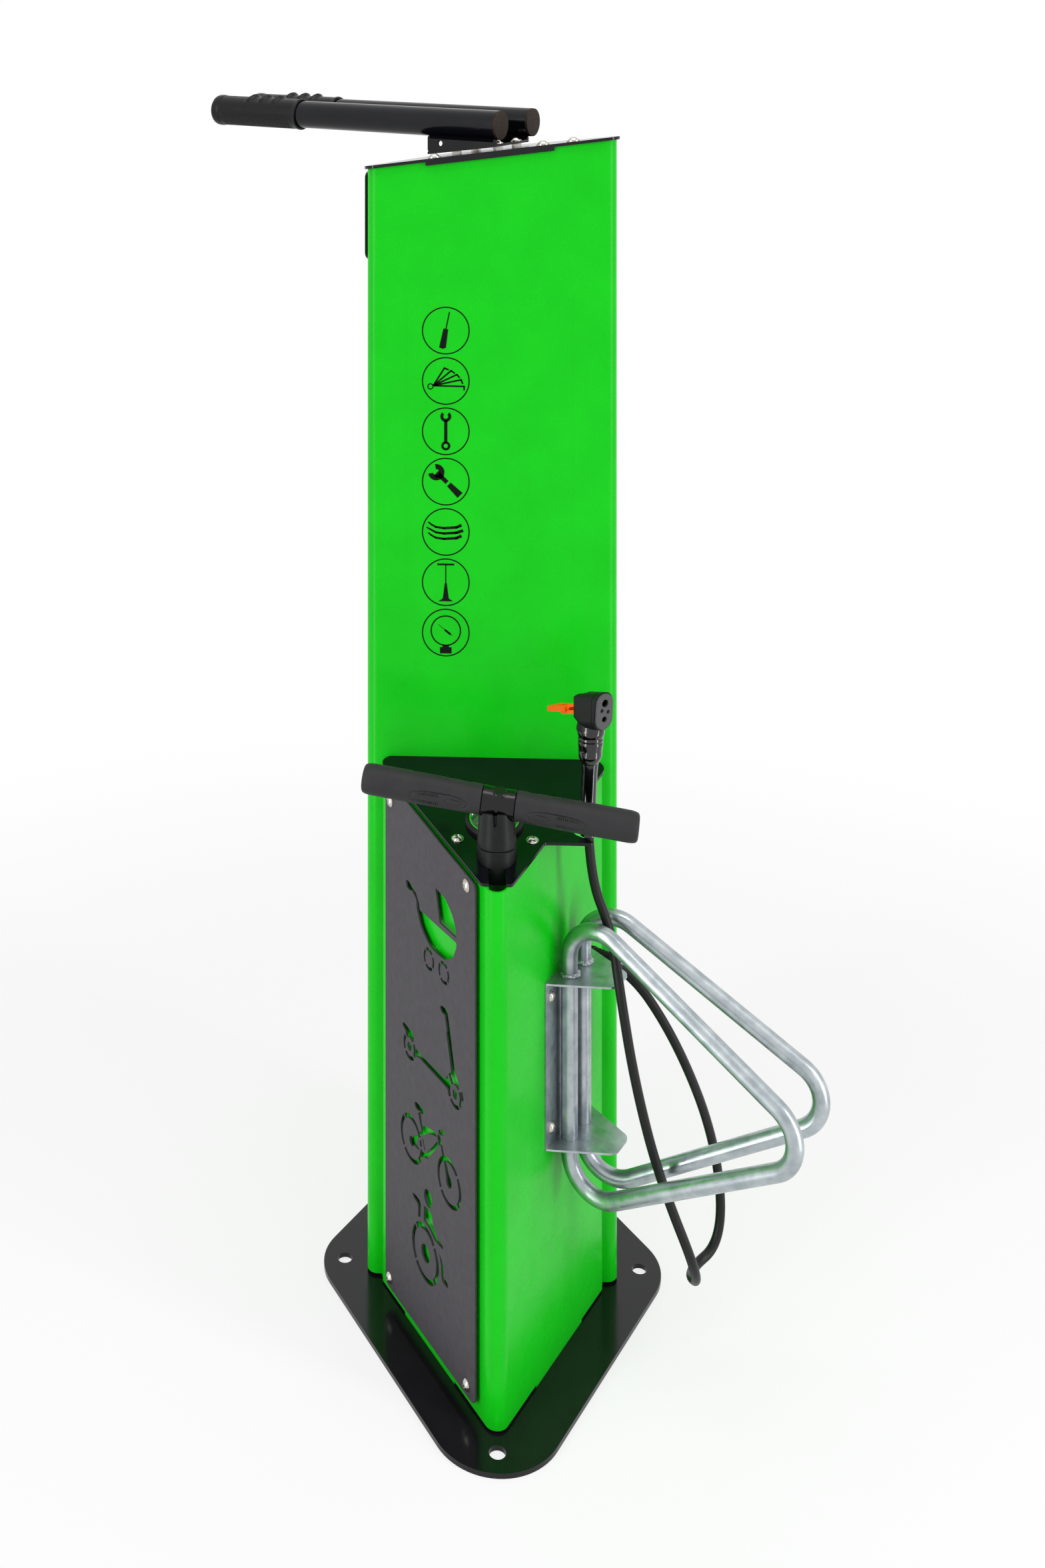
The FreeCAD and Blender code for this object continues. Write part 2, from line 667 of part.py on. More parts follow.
figures.append(poly([
    (-49.0, 212.1), (-52.5, 211.4, 2), (-60.5, 215.1, 2), (-83.0, 239.7), (-84.7, 239.2), (-84.7, 235.9),
    (-64.8, 212.5), (-62.2, 209.7, 2), (-54.0, 208.0, 2), (-51.2, 201.4, 6), (-46.0, 196.6), (-43.6, 199.6),
    (-48.0, 206.4, 6)]))
figures.append(poly([
    (-83.4, 247.0, 1), (-88.1, 249.4, 1), (-93.2, 241.9), (-97.7, 233.9), (-96.0, 231.6), (-93.6, 231.0),
    (-90.6, 239.6, 1), (-86.4, 238.1, 1), (-83.8, 243.1)]))
figures.append(poly([
    (-84.7, 252.1, 1), (-92.3, 258.0, 3), (-97.1, 258.9, 2), (-98.6, 257.3, 1), (-96.6, 253.7, 3),
    (-90.6, 250.3, 4), (-86.6, 249.8, 1)]))
figures.append(poly([
    (-96.7, 229.0), (-100.9, 231.0), (-107.2, 219.4, 3), (-112.6, 215.4, 3), (-112.5, 209.0, 4),
    (-108.0, 205.0, 4), (-101.8, 207.4, 4), (-101.4, 214.5, 3)]))
figures.append(ring_parts(-26.6, 211.4, 24.4, 19.8, (47, 152, 174.5, 222, 313), figure_web))
figures.append(ring_parts(-107.8, 211.2, 24.4, 19.8, (137, 221, 318), figure_web))

# Wheelchair user
figures.append(disc(-63.2, 169.2, 8.6))
figures.append(poly([
    (-29.3, 154.9, 1), (-31.6, 156.8, 2), (-45.4, 156.6, 4), (-47.3, 153.3, 3), (-46.3, 139.3), (-41.8, 137.3),
    (-41.8, 149.9, 4), (-31.2, 151.8, 2)]))
figures.append(poly([
    (-54.4, 156.2, 3), (-61.2, 158.2, 4), (-71.4, 157.0, 6), (-73.6, 147.5, 6), (-81.7, 139.8, 5), (-95.8, 138.6, 1),
    (-94.2, 135.0, 1), (-77.7, 134.4, 6), (-65.8, 139.5, 3), (-53.8, 141.1, 2)]))
figures.append(poly([
    (-86.6, 127.2), (-97.0, 119.9, 6), (-97.2, 108.6, 3), (-105.6, 106.0, 1), (-104.4, 101.5, 1),
    (-92.1, 101.4, 4), (-91.4, 116.0, 6)]))
figures.append(ring_parts(-57.3, 108.0, 29.0, 23.6, (42, 136, 228, 317), figure_web))
figures.append(disc(-57.5, 108.0, 9.0))

panel_face = Part.Face(rounded_wire([
    (panel_t[0], panel_low, 8), (panel_t[1], panel_low, 8),
    (panel_t[1], panel_top(panel_t[1]), 8), (panel_t[0], panel_top(panel_t[0]), 8)]))
panel = panel_face.extrude(V(0, 0, panel_thick))
panel.rotate(V(0, 0, 0), V(1, 0, 0), 90)
panel = moved(panel, 0, panel_y + panel_thick, 0)
for figure in figures:
    panel = panel.cut(flat_cut(figure))
panel = max(panel.Solids, key=lambda solid: solid.Volume)
panel_screws = []
panel_spacers = []
for t, z in ((22.0, 554.5), (-143.5, 528.5), (23.4, 31.4), (-143.5, 31.4)):
    through = Part.makeCylinder(2.5 + hole_play, 30, V(t, housing_off - 10, z), V(0, 1, 0))
    panel = panel.cut(through)
    housing = housing.cut(on_left(through))
    seat = V(t, panel_y + panel_thick, z)
    panel_screws.append(aimed(dome_screw(5.5, 3.2, 2.5, 12.0, 6.2, 1.0), seat, V(0, 1, 0)))
    panel_spacers.append(aimed(tube(5.0, 2.5 + hole_play, 0, panel_gap), V(t, housing_off, z), V(0, 1, 0)))
save("pictogram_panel", on_left(panel))
save("panel_screws", on_left(joined(panel_screws)))
save("panel_spacers", on_left(joined(panel_spacers)))

# Wheel holder: x = -t, y = distance, z
plate_t = (-90.3, 7.9)
wheel_z = (236.0, 407.6)
wheel_thick = 2.0
y0 = housing_off
bracket_w = box(-plate_t[1], -plate_t[0], y0, y0 + wheel_thick, wheel_z[0], wheel_z[1])
ear = [
    (-plate_t[1], y0), (-plate_t[0], y0), (86.4, y0 + 9, 2), (57.7, y0 + 65, 12),
    (24.7, y0 + 65, 12), (-4.0, y0 + 9, 2)]
for z in (wheel_z[0], wheel_z[1] - wheel_thick):
    bracket_w = bracket_w.fuse(prism(ear, z, z + wheel_thick))
leg_y = y0 + leg_dist
for t in (leg_front_t, leg_back_t):
    bracket_w = bracket_w.cut(Part.makeCylinder(loop_tube_r + 0.15, 300, V(-t, leg_y, 200)))
wheel_screws = []
wheel_mid = (plate_t[0] + plate_t[1]) / 2
for t in (wheel_mid - 37.3, wheel_mid + 37.3):
    for z in (390.0, 255.0):
        through = Part.makeCylinder(2.5 + hole_play, 20, V(-t, y0 - 10, z), V(0, 1, 0))
        bracket_w = bracket_w.cut(through)
        housing = housing.cut(on_right(through))
        wheel_screws.append(aimed(dome_screw(5.5, 3.2, 2.5, 9.0, 6.2, 1.0), V(-t, y0 + wheel_thick, z), V(0, 1, 0)))
save("wheel_bracket", on_right(bracket_w))
save("wheel_bracket_screws", on_right(joined(wheel_screws)))

loop_reach = (loop_high - loop_low) * sin60
rings = []
for name, t, spread in (("front", leg_front_t, -loop_spread), ("back", leg_back_t, loop_spread)):
    foot = right_point(t, leg_y, 0)
    heading = math.radians(-30 + spread)
    corner_points = [
        V(foot.x, foot.y, loop_low),
        V(foot.x, foot.y, loop_high),
        V(foot.x + loop_reach * math.cos(heading), foot.y + loop_reach * math.sin(heading),
          (loop_low + loop_high) / 2),
    ]
    outside, radii = pipe(corner_points, 0.45, loop_tube_r, True, loop_bend)
    inside, radii = pipe(corner_points, 0.45, loop_tube_in_r, True, loop_bend)
    loop = outside.cut(inside)
    # Drain holes in the leg, on the side of the housing
    for z in (250.0, 395.0):
        loop = loop.cut(Part.makeCylinder(2.0, loop_tube_r + 3, V(foot.x, foot.y, z), right_normal * -1))
    save("wheel_loop_" + name, loop)
    for z, up in ((wheel_z[1], 1), (wheel_z[0], -1)):
        bead = revolved([(loop_tube_r + 0.03, 0), (loop_tube_r + 2.6, 0), (loop_tube_r + 1.6, 1.4 * up),
                         (loop_tube_r + 0.03, 2.2 * up)])
        rings.append(moved(bead, foot.x, foot.y, z))
save("wheel_loop_welds", joined(rings))

# Gland where the hose enters the housing
gland_t = 15.9
gland_z = 396.0
gland = tube(7.4, hose_r + fit_seat, housing_off, housing_off + 5.5)
gland = gland.fuse(tube(6.4, hose_r + fit_seat, housing_off - 8, housing_off + 1))
gland_nut = tube(9.0, 6.45, housing_off - sheet - 4, housing_off - sheet)


def along_y(shape, x, z):
    piece = turned(shape, -90, V(0, 0, 0), V(1, 0, 0))
    return moved(piece, x, 0, z)


hole = Part.makeCylinder(6.5, 20, V(-gland_t, housing_off - 10, gland_z), V(0, 1, 0))
housing = housing.cut(on_right(hole))
save("hose_gland", on_right(along_y(gland, -gland_t, gland_z)))
save("hose_gland_nut", on_right(along_y(gland_nut, -gland_t, gland_z)))
save("pump_housing", housing)

# Hose: hand-chosen route from the head down between the loops and back to the gland
gland_in = right_point(gland_t, housing_off - 6.0, gland_z)
gland_out = right_point(gland_t, housing_off + 41.5, gland_z)
route = [
    V(hose_x, hose_y, hose_top),
    V(hose_x, hose_y, hose_top - 70.0),
    V(121.4, -116.4, 452.7),
    V(125.8, -146.4, 411.0),
    V(140.9, -147.5, 317.5),
    V(166.1, -142.5, 218.0),
    V(208.4, -148.1, 114.1),
    V(202.2, -80.0, 77.7),
    V(247.6, -50.1, 93.9),
    V(240.2, -45.3, 197.7),
    V(191.4, -85.1, 328.8),
    gland_out,
    gland_in,
]
hose, hose_bends = pipe(route, 0.45, hose_r)
core, core_bends = pipe(route, 0.45, hose_in_r)
length = hose.Volume / (math.pi * hose_r * hose_r)
print("hose length %.1f" % length, "radii", ["%.1f" % r for r in hose_bends])
centre_length = 0.0
for i in range(len(route) - 1):
    centre_length += route[i].distanceToPoint(route[i + 1])
for i in range(1, len(route) - 1):
    a = route[i - 1] - route[i]
    b = route[i + 1] - route[i]
    half_turn = (math.pi - a.getAngle(b)) / 2
    r = hose_bends[i - 1]
    centre_length += 2 * r * half_turn - 2 * r * math.tan(half_turn)
    print("turn %d  %.1f degrees  radius %.1f" % (i, math.degrees(2 * half_turn), r))
print("hose centre line %.1f" % centre_length, "runs",
      ["%.0f" % route[i].distanceToPoint(route[i + 1]) for i in range(len(route) - 1)])
hose = hose.cut(core)
save("air_hose", hose)

# Sleeve and collar on the hose, under the head
sleeve = tube(8.25, hose_r + 0.1, 500, hose_top + 0.1, hose_x, hose_y)
sleeve = sleeve.fuse(tube(8.25, hose_in_r, hose_top + 0.1, 633.0, hose_x, hose_y))
sleeve = sleeve.common(slab(shelf_z, 0, shelf_dy, 200))
save("hose_sleeve", sleeve)
collar = revolved([
    (hose_in_r, 633.0), (9.6, 633.0), (10.8, 636.0), (11.6, 641.0), (12.35, 646.0), (12.1, 651.0),
    (12.35, 656.0), (13.4, 659.5), (14.0, 662.0), (14.0, 666.0), (hose_in_r, 666.0)],
    hose_x, hose_y, 0)
save("head_collar", collar)

# Pump head: local x is the valve axis, local y across, z up
head_low = 666.0
head_back = -12.2
head_front = 24.2
head_half = 11.8
head_round = 11.3
face_mid = 692.0
face_high = 18.4
face_half = 10.6
face_thick = 2.2
face_lean = 4.5
neck_r = 12.0
pivot_s = -6.5
pivot_z = 686.9
lever_half = 5.8
tab_half = 8.5
lever_droop = 15.0
lever_slot = 0.3
valve_up = 700.7
valve_low = 684.1
valve_up_r = 4.1
valve_low_r = 3.1
slope_face = math.tan(math.radians(face_lean))


def upright(points, length, x):
    # An outline drawn as (y, z) stands square to the valve axis at x
    solid = Part.Face(rounded_wire(points)).extrude(V(0, 0, length))
    solid = turned(solid, 90, V(0, 0, 0), V(1, 0, 0))
    return moved(turned(solid, 90), x, 0, 0)


def rounded_section(half, low, top, r_low, r_top):
    return [(-half, low, r_low), (half, low, r_low), (half, top, r_top), (-half, top, r_top)]


def from_side(points, half):
    # An outline drawn as (x, z) reaches the same distance to both sides
    solid = Part.Face(rounded_wire(points)).extrude(V(0, 0, 2 * half))
    return moved(turned(solid, 90, V(0, 0, 0), V(1, 0, 0)), 0, half, 0)


def leaned(shape):
    return turned(shape, face_lean, V(head_front, 0, face_mid), V(0, 1, 0))


def section_at(x, low, top, r_low, r_top):
    wire = rounded_wire(rounded_section(head_half, low, top, r_low, r_top))
    wire.rotate(V(0, 0, 0), V(1, 0, 0), 90)
    wire.rotate(V(0, 0, 0), V(0, 0, 1), 90)
    wire.translate(V(x, 0, 0))
    return wire


head = Part.makeLoft([section_at(head_back - 1.0, 675.5, 700.5, 9.0, 4.5), section_at(0.0, 667.0, 704.6, 10.5, 7.5),
                      section_at(head_front + 3.0, 672.9, 712.0, head_round, head_round)], True, True)
head = head.common(prism([(head_back, -head_half, 5), (head_front + 5, -head_half), (head_front + 5, head_half),
                          (head_back, head_half, 5)], 650, 730))
head = head.common(from_side([
    (head_back, 682.5, 6), (-8.0, 664.0), (head_front + (664.0 - face_mid) * slope_face, 664.0),
    (head_front + (714.0 - face_mid) * slope_face, 714.0), (head_back, 701.0, 13)], 20))
neck = revolved([(0, head_low), (neck_r, head_low), (neck_r, head_low + 2.5), (8.5, 682.0), (0, 682.0)], 0, 0, 0)
head = head.fuse(neck).removeSplitter()
head = head.cut(box(-40, 40, -40, 40, 600, head_low))
groove = upright(rounded_section(20, 650, 730, 1, 1), 0.5, head_front - 5.2)
groove_in = rounded_section(head_half - 0.35, 671.35, 709.45, head_round - 0.55, head_round - 1.3)
groove = groove.cut(upright(groove_in, 3, head_front - 6.2))
head = head.cut(groove)
slot_half = lever_half + lever_slot
slot_front = pivot_s + 5.4 + lever_slot
head = head.cut(box(head_back - 5, slot_front, -slot_half, slot_half, 678.0, 720.0))
bores = Part.makeCylinder(valve_up_r + 0.8, 22, V(8.0, 0, valve_up), V(1, 0, 0))
bores = bores.fuse(Part.makeCylinder(valve_low_r + 0.8, 22, V(11.0, 0, valve_low), V(1, 0, 0)))
head = head.cut(leaned(bores))
head = head.cut(Part.makeCylinder(2.0 + fit_seat, 40, V(pivot_s, -20, pivot_z), V(0, 1, 0)))
face_round = face_half - 0.3
face_plate = upright(
    rounded_section(face_half, face_mid - face_high, face_mid + face_high, face_round, face_round),
    face_thick, head_front)
face_plate = face_plate.cut(Part.makeCylinder(valve_up_r, 22, V(head_front - 2, 0, valve_up), V(1, 0, 0)))
face_plate = face_plate.cut(Part.makeCylinder(valve_low_r, 22, V(head_front - 2, 0, valve_low), V(1, 0, 0)))
face_screws = []
screw_head = head_front + face_thick - 1.9
for y, z in ((-3.8, 693.6), (4.2, 691.4)):
    hole = Part.makeCylinder(1.5, 12, V(head_front - 6.2, y, z), V(1, 0, 0))
    hole = hole.fuse(Part.makeCylinder(2.2, 5, V(screw_head - 0.1, y, z), V(1, 0, 0)))
    face_plate = face_plate.cut(hole)
    head = head.cut(leaned(hole))
    screw = Part.makeCylinder(1.4, 7.0, V(head_front - 6.0, y, z), V(1, 0, 0))
    screw = screw.fuse(Part.makeCylinder(2.1, 1.8, V(screw_head, y, z), V(1, 0, 0)))
    tip = screw_head + 0.9
    screw = screw.cut(box(tip, tip + 3, y - 0.3, y + 0.3, z - 1.3, z + 1.3))
    screw = screw.cut(box(tip, tip + 3, y - 1.3, y + 1.3, z - 0.3, z + 0.3))
    face_screws.append(leaned(screw))
face_plate = leaned(face_plate)
pin = Part.makeCylinder(2.0, 2 * head_half - 0.6, V(pivot_s, -head_half + 0.3, pivot_z), V(0, 1, 0))


def lever_side(points, half):
    # An outline drawn as (distance behind the pivot, height above it)
    return from_side([(pivot_s - p[0], pivot_z + p[1]) + tuple(p[2:]) for p in points], half)


lever = Part.makeCylinder(5.4, 2 * lever_half, V(pivot_s, -lever_half, pivot_z), V(0, 1, 0))
blade = lever_side([(0, -5.4), (31.0, -5.8, 2), (35.4, -2.9, 3), (52.0, -2.9, 1.2), (51.4, 3.0, 1.6),
                    (22.5, 2.2, 6), (16.5, 4.6, 4), (0, 4.8)], lever_half)
tab = lever_side([(20.5, -2.9, 2), (52.0, -2.9, 1.2), (51.4, 3.0, 1.6), (22.5, 2.2, 2)], tab_half)
lever = lever.fuse(blade).fuse(tab).removeSplitter()
lever = lever.cut(lever_side([(9.5, -1.6, 0.8), (19.5, -2.2, 0.8), (17.5, 1.0, 0.8), (9.5, 1.8, 0.8)], lever_half + 1))
lever = lever.cut(lever_side([(31.0, 0.6), (39.5, 0.6), (39.5, 6.0), (31.0, 6.0)], 4.2))
lever = lever.cut(Part.makeCylinder(2.0 + fit_running, 40, V(pivot_s, -20, pivot_z), V(0, 1, 0)))
lever = turned(lever, -lever_droop, V(pivot_s, 0, pivot_z), V(0, 1, 0))


def on_head(shape):
    return moved(turned(shape, head_turn), hose_x, hose_y, 0)


save("head_body", on_head(head))
save("head_face", on_head(face_plate))
save("head_face_screws", on_head(joined(face_screws)))
save("lever_pin", on_head(pin))
save("head_lever", on_head(lever))

# Pump, about its own axis
foot_top = 32.0
foot = revolved([(0, plate_thick), (24.0, plate_thick), (24.0, 14.0), (21.5, 18.0), (21.5, foot_top),
                 (barrel_r + fit_seat, foot_top), (barrel_r + fit_seat, 24.0), (6.0, 24.0), (3.0, 18.0),
                 (3.0, 10.0), (0, 10.0)])
foot = foot.cut(Part.makeCylinder(3.0, 40, V(0, 0, 13.0), V(1, 0, 0)))
save("pump_foot", moved(foot, pump_x, pump_y, 0))
collar_low = 528.0
barrel_top = 542.0
save("pump_barrel", moved(tube(barrel_r, barrel_in_r, 24.0, barrel_top), pump_x, pump_y, 0))
cap = revolved([
    (rod_r + fit_running, barrel_top), (barrel_r + fit_seat, barrel_top), (barrel_r + fit_seat, collar_low),
    (collar_r + 0.0, collar_low), (collar_r, collar_top - 0.6), (collar_r - 0.6, collar_top),
    (rod_r + fit_running, collar_top)])
save("pump_collar", moved(cap, pump_x, pump_y, 0))
piston_z = (60.0, 78.0)
rod_top = 607.0
rod = Part.makeCylinder(rod_r, rod_top - piston_z[0], V(0, 0, piston_z[0]))
rod = rod.fuse(Part.makeCylinder(7.0, 2.5, V(0, 0, 570.0)))
save("pump_rod", moved(rod, pump_x, pump_y, 0))
piston = tube(barrel_in_r - 0.6, rod_r + fit_seat, piston_z[0], piston_z[1])
groove = tube(barrel_in_r + 1, barrel_in_r - 4.0, 66.0, 72.0)
piston = piston.cut(groove)
save("pump_piston", moved(piston, pump_x, pump_y, 0))
save("piston_seal", moved(tube(barrel_in_r - fit_running, barrel_in_r - 3.9, 66.1, 71.9), pump_x, pump_y, 0))

# Handle: the hub is a tapered stem under a cross tube
stem = revolved([
    (0, 594.0), (0, 560.4), (19.1, 560.4), (19.1, 565.0), (18.3, 567.0), (15.4, 586.0), (14.4, 594.0)])


def on_bar(shape):
    return moved(turned(shape, handle_tilt, axis=V(0, 1, 0)), handle_shift, 0, handle_z)


cross = on_bar(Part.makeCylinder(cross_r, 2 * hub_half, V(-hub_half, 0, 0), V(1, 0, 0)))
neck = Part.makeCylinder(cross_r - 0.2, handle_z - 593.0, V(0, 0, 593.0))
hub = stem.fuse(neck).fuse(cross)
hub = hub.cut(Part.makeCylinder(7.05 + 0.3, 12.0, V(0, 0, 559.0)))
hub = hub.cut(Part.makeCylinder(16.4, 3.0, V(0, 0, 559.4)))
hub = hub.cut(Part.makeCylinder(7.35, 3.55, V(0, 0, 569.0)))
hub = hub.cut(Part.makeCylinder(rod_r + fit_running, 60, V(0, 0, 565.0)))
hub = hub.cut(Part.makeCylinder(7.5, 40, V(0, 0, 601.0)))
# Keyhole in the front of the stem
hub_front = Part.makeCylinder(1.4, 8, V(0, -20, 590.5), V(0, 1, 0)).fuse(box(-0.5, 0.5, -20, -12, 578.0, 590.5))
hub = hub.cut(hub_front)
core_r = 6.0
for sign in (-1, 1):
    bar_hole = Part.makeCylinder(core_r + fit_seat, 12, V(sign * (core_start - 0.5), 0, 0), V(sign, 0, 0))
    hub = hub.cut(on_bar(bar_hole))
nut = hex_nut(11.0, 5.0, rod_r + fit_running).cut(tube(20, 6.9, -1, 6))
nut = moved(nut, 0, 0, 601.0)
hub_cap = Part.makeCylinder(7.45, 3.0, V(0, 0, handle_z + cross_r - 4.1))


def half_grip(sign):
    outer = revolved([
        (core_r + fit_seat, hub_half + 0.1), (14.3, hub_half + 0.1), (14.8, hub_half + 4), (15.2, 50.0),
        (15.5, 85.0), (15.5, handle_half - 15), (15.2, handle_half - 7), (14.2, handle_half - 2.5),
        (12.6, handle_half - 0.5), (10.5, handle_half), (0, handle_half), (0, handle_half - 5),
        (core_r + fit_seat, handle_half - 5)])
    return on_bar(turned(outer, 90 * sign, axis=V(0, 1, 0)))


def half_core(sign):
    rod_part = Part.makeCylinder(core_r, handle_half - 5.2 - core_start, V(0, 0, core_start))
    return on_bar(turned(rod_part, 90 * sign, axis=V(0, 1, 0)))


def on_handle(shape):
    return moved(turned(shape, handle_turn), pump_x, pump_y, 0)


save("handle_hub", on_handle(hub))
save("handle_cap", on_handle(hub_cap))
save("rod_nut", on_handle(nut))
save("handle_core_left", on_handle(half_core(-1)))
save("handle_core_right", on_handle(half_core(1)))
save("handle_grip_left", on_handle(half_grip(-1)))
save("handle_grip_right", on_handle(half_grip(1)))

# Gauge, on the shelf: local +Z is the shelf's normal
boot = revolved([
    (6.1, -31.0), (27.9, -31.0), (27.9, 0.0), (boot_r, 0.0), (boot_r, 3.6), (28.4, 6.6), (27.1, 6.8),
    (27.1, 0.6), (25.5, 0.6), (25.5, -28.5), (6.1, -28.5)])
case = revolved([
    (0, -28.4), (25.4, -28.4), (25.4, 1.0), (24.3, 1.0), (24.3, -6.2), (22.0, -6.2), (22.0, -8.0),
    (24.3, -9.6), (24.3, -27.2), (0, -27.2)])
case = case.fuse(Part.makeCylinder(6.0, 16.0, V(0, 0, -44.0)))
post = Part.makeCylinder(2.4, 18.0, V(0, 0, -27.2)).cut(Part.makeCylinder(0.8, 12.0, V(0, 0, -19.0)))
case = case.fuse(post)
dial = Part.makeCylinder(24.1, 0.8, V(0, 0, -6.2)).cut(Part.makeCylinder(1.0, 3, V(0, 0, -7)))
lens = Part.makeCylinder(25.0, 1.6, V(0, 0, 1.0))
bezel = revolved([(25.1, 1.0), (26.9, 1.0), (26.9, 4.6), (26.2, 5.6), (24.6, 5.6), (23.4, 3.4), (23.4, 2.6),
                  (25.1, 2.6)])
needle = Part.Face(rounded_wire([(-7.0, -1.1, 0.5), (0, -1.3), (19.0, -0.35), (19.0, 0.35), (0, 1.3), (-7.0, 1.1, 0.5)]))
needle = needle.extrude(V(0, 0, 0.8))
needle = moved(needle, 0, 0, -4.4).fuse(Part.makeCylinder(2.4, 1.6, V(0, 0, -4.8)))
needle = needle.fuse(Part.makeCylinder(0.75, 14.0, V(0, 0, -18.5)))
needle = turned(needle, -135)


def on_gauge(shape):
    return aimed(shape, gauge_point, shelf_normal)


save("gauge_boot", on_gauge(boot))
save("gauge_case", on_gauge(case))
save("gauge_dial", on_gauge(dial))
save("gauge_lens", on_gauge(lens))
save("gauge_bezel", on_gauge(bezel))
save("gauge_needle", on_gauge(needle))
print("gauge centre", gauge_point, "normal", shelf_normal)
print("pivot", on_head(Part.Vertex(V(pivot_s, 0, pivot_z))).Point)
print("head across", math.cos(math.radians(head_turn + 90)), math.sin(math.radians(head_turn + 90)))
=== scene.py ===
import bpy
import bmesh
import json
from math import atan2, cos, degrees, exp, pi, radians, sin, sqrt, tan
from mathutils import Matrix, Vector, noise


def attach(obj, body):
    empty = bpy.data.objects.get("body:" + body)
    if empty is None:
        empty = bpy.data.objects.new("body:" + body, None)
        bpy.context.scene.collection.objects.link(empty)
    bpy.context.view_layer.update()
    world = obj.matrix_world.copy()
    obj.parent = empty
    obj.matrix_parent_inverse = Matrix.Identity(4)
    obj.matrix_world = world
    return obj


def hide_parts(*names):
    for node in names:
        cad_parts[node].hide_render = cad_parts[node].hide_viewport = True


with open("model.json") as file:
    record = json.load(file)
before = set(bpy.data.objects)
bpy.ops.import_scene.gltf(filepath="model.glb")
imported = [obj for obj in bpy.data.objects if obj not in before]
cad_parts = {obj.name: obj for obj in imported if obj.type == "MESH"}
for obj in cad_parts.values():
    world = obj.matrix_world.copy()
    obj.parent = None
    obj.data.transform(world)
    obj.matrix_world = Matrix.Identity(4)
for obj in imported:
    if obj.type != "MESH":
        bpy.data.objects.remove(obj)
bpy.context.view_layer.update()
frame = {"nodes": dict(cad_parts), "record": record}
mm = 0.001
sin60 = sin(radians(60))
print("frame loaded,", len(frame["nodes"]), "nodes")

# Camera: standing in front of the pump, lens shifted down so that the uprights stay parallel
cameraSettings = {"place": (-0.038, -1.6502, 1.1914), "pan": 0.0541, "lens": 33.77, "sensor": 36.0,
                  "shiftX": 0.0920, "shiftY": -0.3597}
cameraData = bpy.data.cameras.new("photoCamera")
cameraData.sensor_fit = "VERTICAL"
cameraData.sensor_height = cameraSettings["sensor"]
cameraData.lens = cameraSettings["lens"]
cameraData.shift_x = cameraSettings["shiftX"]
cameraData.shift_y = cameraSettings["shiftY"]
cameraData.clip_end = 50
photoCamera = bpy.data.objects.new("photoCamera", cameraData)
photoCamera.location = cameraSettings["place"]
photoCamera.rotation_euler = (pi / 2, 0, cameraSettings["pan"])
bpy.context.collection.objects.link(photoCamera)
bpy.context.scene.camera = photoCamera


# Helpers for colours and shader nodes
def hexColour(code):
    channels = [int(code[i:i + 2], 16) / 255 for i in (0, 2, 4)]
    return [c / 12.92 if c <= 0.04045 else ((c + 0.055) / 1.055) ** 2.4 for c in channels] + [1.0]


def addNode(tree, kind, settings=None, links=None):
    node = tree.nodes.new(kind)
    for name, value in (settings or {}).items():
        if isinstance(name, int) or name in node.inputs:
            node.inputs[name].default_value = value
        else:
            setattr(node, name, value)
    for name, source in (links or {}).items():
        tree.links.new(source, node.inputs[name])
    return node


def newMaterial(name, colour, roughness, metallic=0.0, extra=None):
    material = bpy.data.materials.new(name)
    material.use_nodes = True
    shader = material.node_tree.nodes["Principled BSDF"]
    shader.inputs["Base Color"].default_value = hexColour(colour)
    shader.inputs["Roughness"].default_value = roughness
    shader.inputs["Metallic"].default_value = metallic
    for socket, value in (extra or {}).items():
        shader.inputs[socket].default_value = value
    return material


def cloudOf(material, spacing, detail=2.0, stretch=(1, 1, 1)):
    # Noise with blotches about spacing millimetres apart, on the piece's own coordinates
    tree = material.node_tree
    place = addNode(tree, "ShaderNodeTexCoord")
    laid = addNode(tree, "ShaderNodeMapping", {"Scale": stretch}, {"Vector": place.outputs["Object"]})
    return addNode(tree, "ShaderNodeTexNoise", {"Scale": 1000 / spacing, "Detail": detail},
                   {"Vector": laid.outputs["Vector"]})


def varyColour(material, low, high, spacing, detail=2.0, stretch=(1, 1, 1)):
    tree = material.node_tree
    cloud = cloudOf(material, spacing, detail, stretch)
    ramp = addNode(tree, "ShaderNodeValToRGB", links={"Fac": cloud.outputs["Fac"]})
    ramp.color_ramp.elements[0].position = 0.3
    ramp.color_ramp.elements[0].color = hexColour(low)
    ramp.color_ramp.elements[1].position = 0.7
    ramp.color_ramp.elements[1].color = hexColour(high)
    tree.links.new(ramp.outputs["Color"], tree.nodes["Principled BSDF"].inputs["Base Color"])


def varyRoughness(material, low, high, spacing, detail=2.0, stretch=(1, 1, 1)):
    tree = material.node_tree
    cloud = cloudOf(material, spacing, detail, stretch)
    spread = addNode(tree, "ShaderNodeMapRange",
                     {"From Min": 0.3, "From Max": 0.7, "To Min": low, "To Max": high},
                     {"Value": cloud.outputs["Fac"]})
    tree.links.new(spread.outputs["Result"], tree.nodes["Principled BSDF"].inputs["Roughness"])


def addGrain(material, spacing, height, detail=2.0, stretch=(1, 1, 1)):
    # Bump of height millimetres, over any bump that the material already has
    tree = material.node_tree
    shader = tree.nodes["Principled BSDF"]
    cloud = cloudOf(material, spacing, detail, stretch)
    bump = addNode(tree, "ShaderNodeBump", {"Distance": height * mm, "Strength": 1.0},
                   {"Height": cloud.outputs["Fac"]})
    if shader.inputs["Normal"].links:
        tree.links.new(shader.inputs["Normal"].links[0].from_socket, bump.inputs["Normal"])
    tree.links.new(bump.outputs["Normal"], shader.inputs["Normal"])


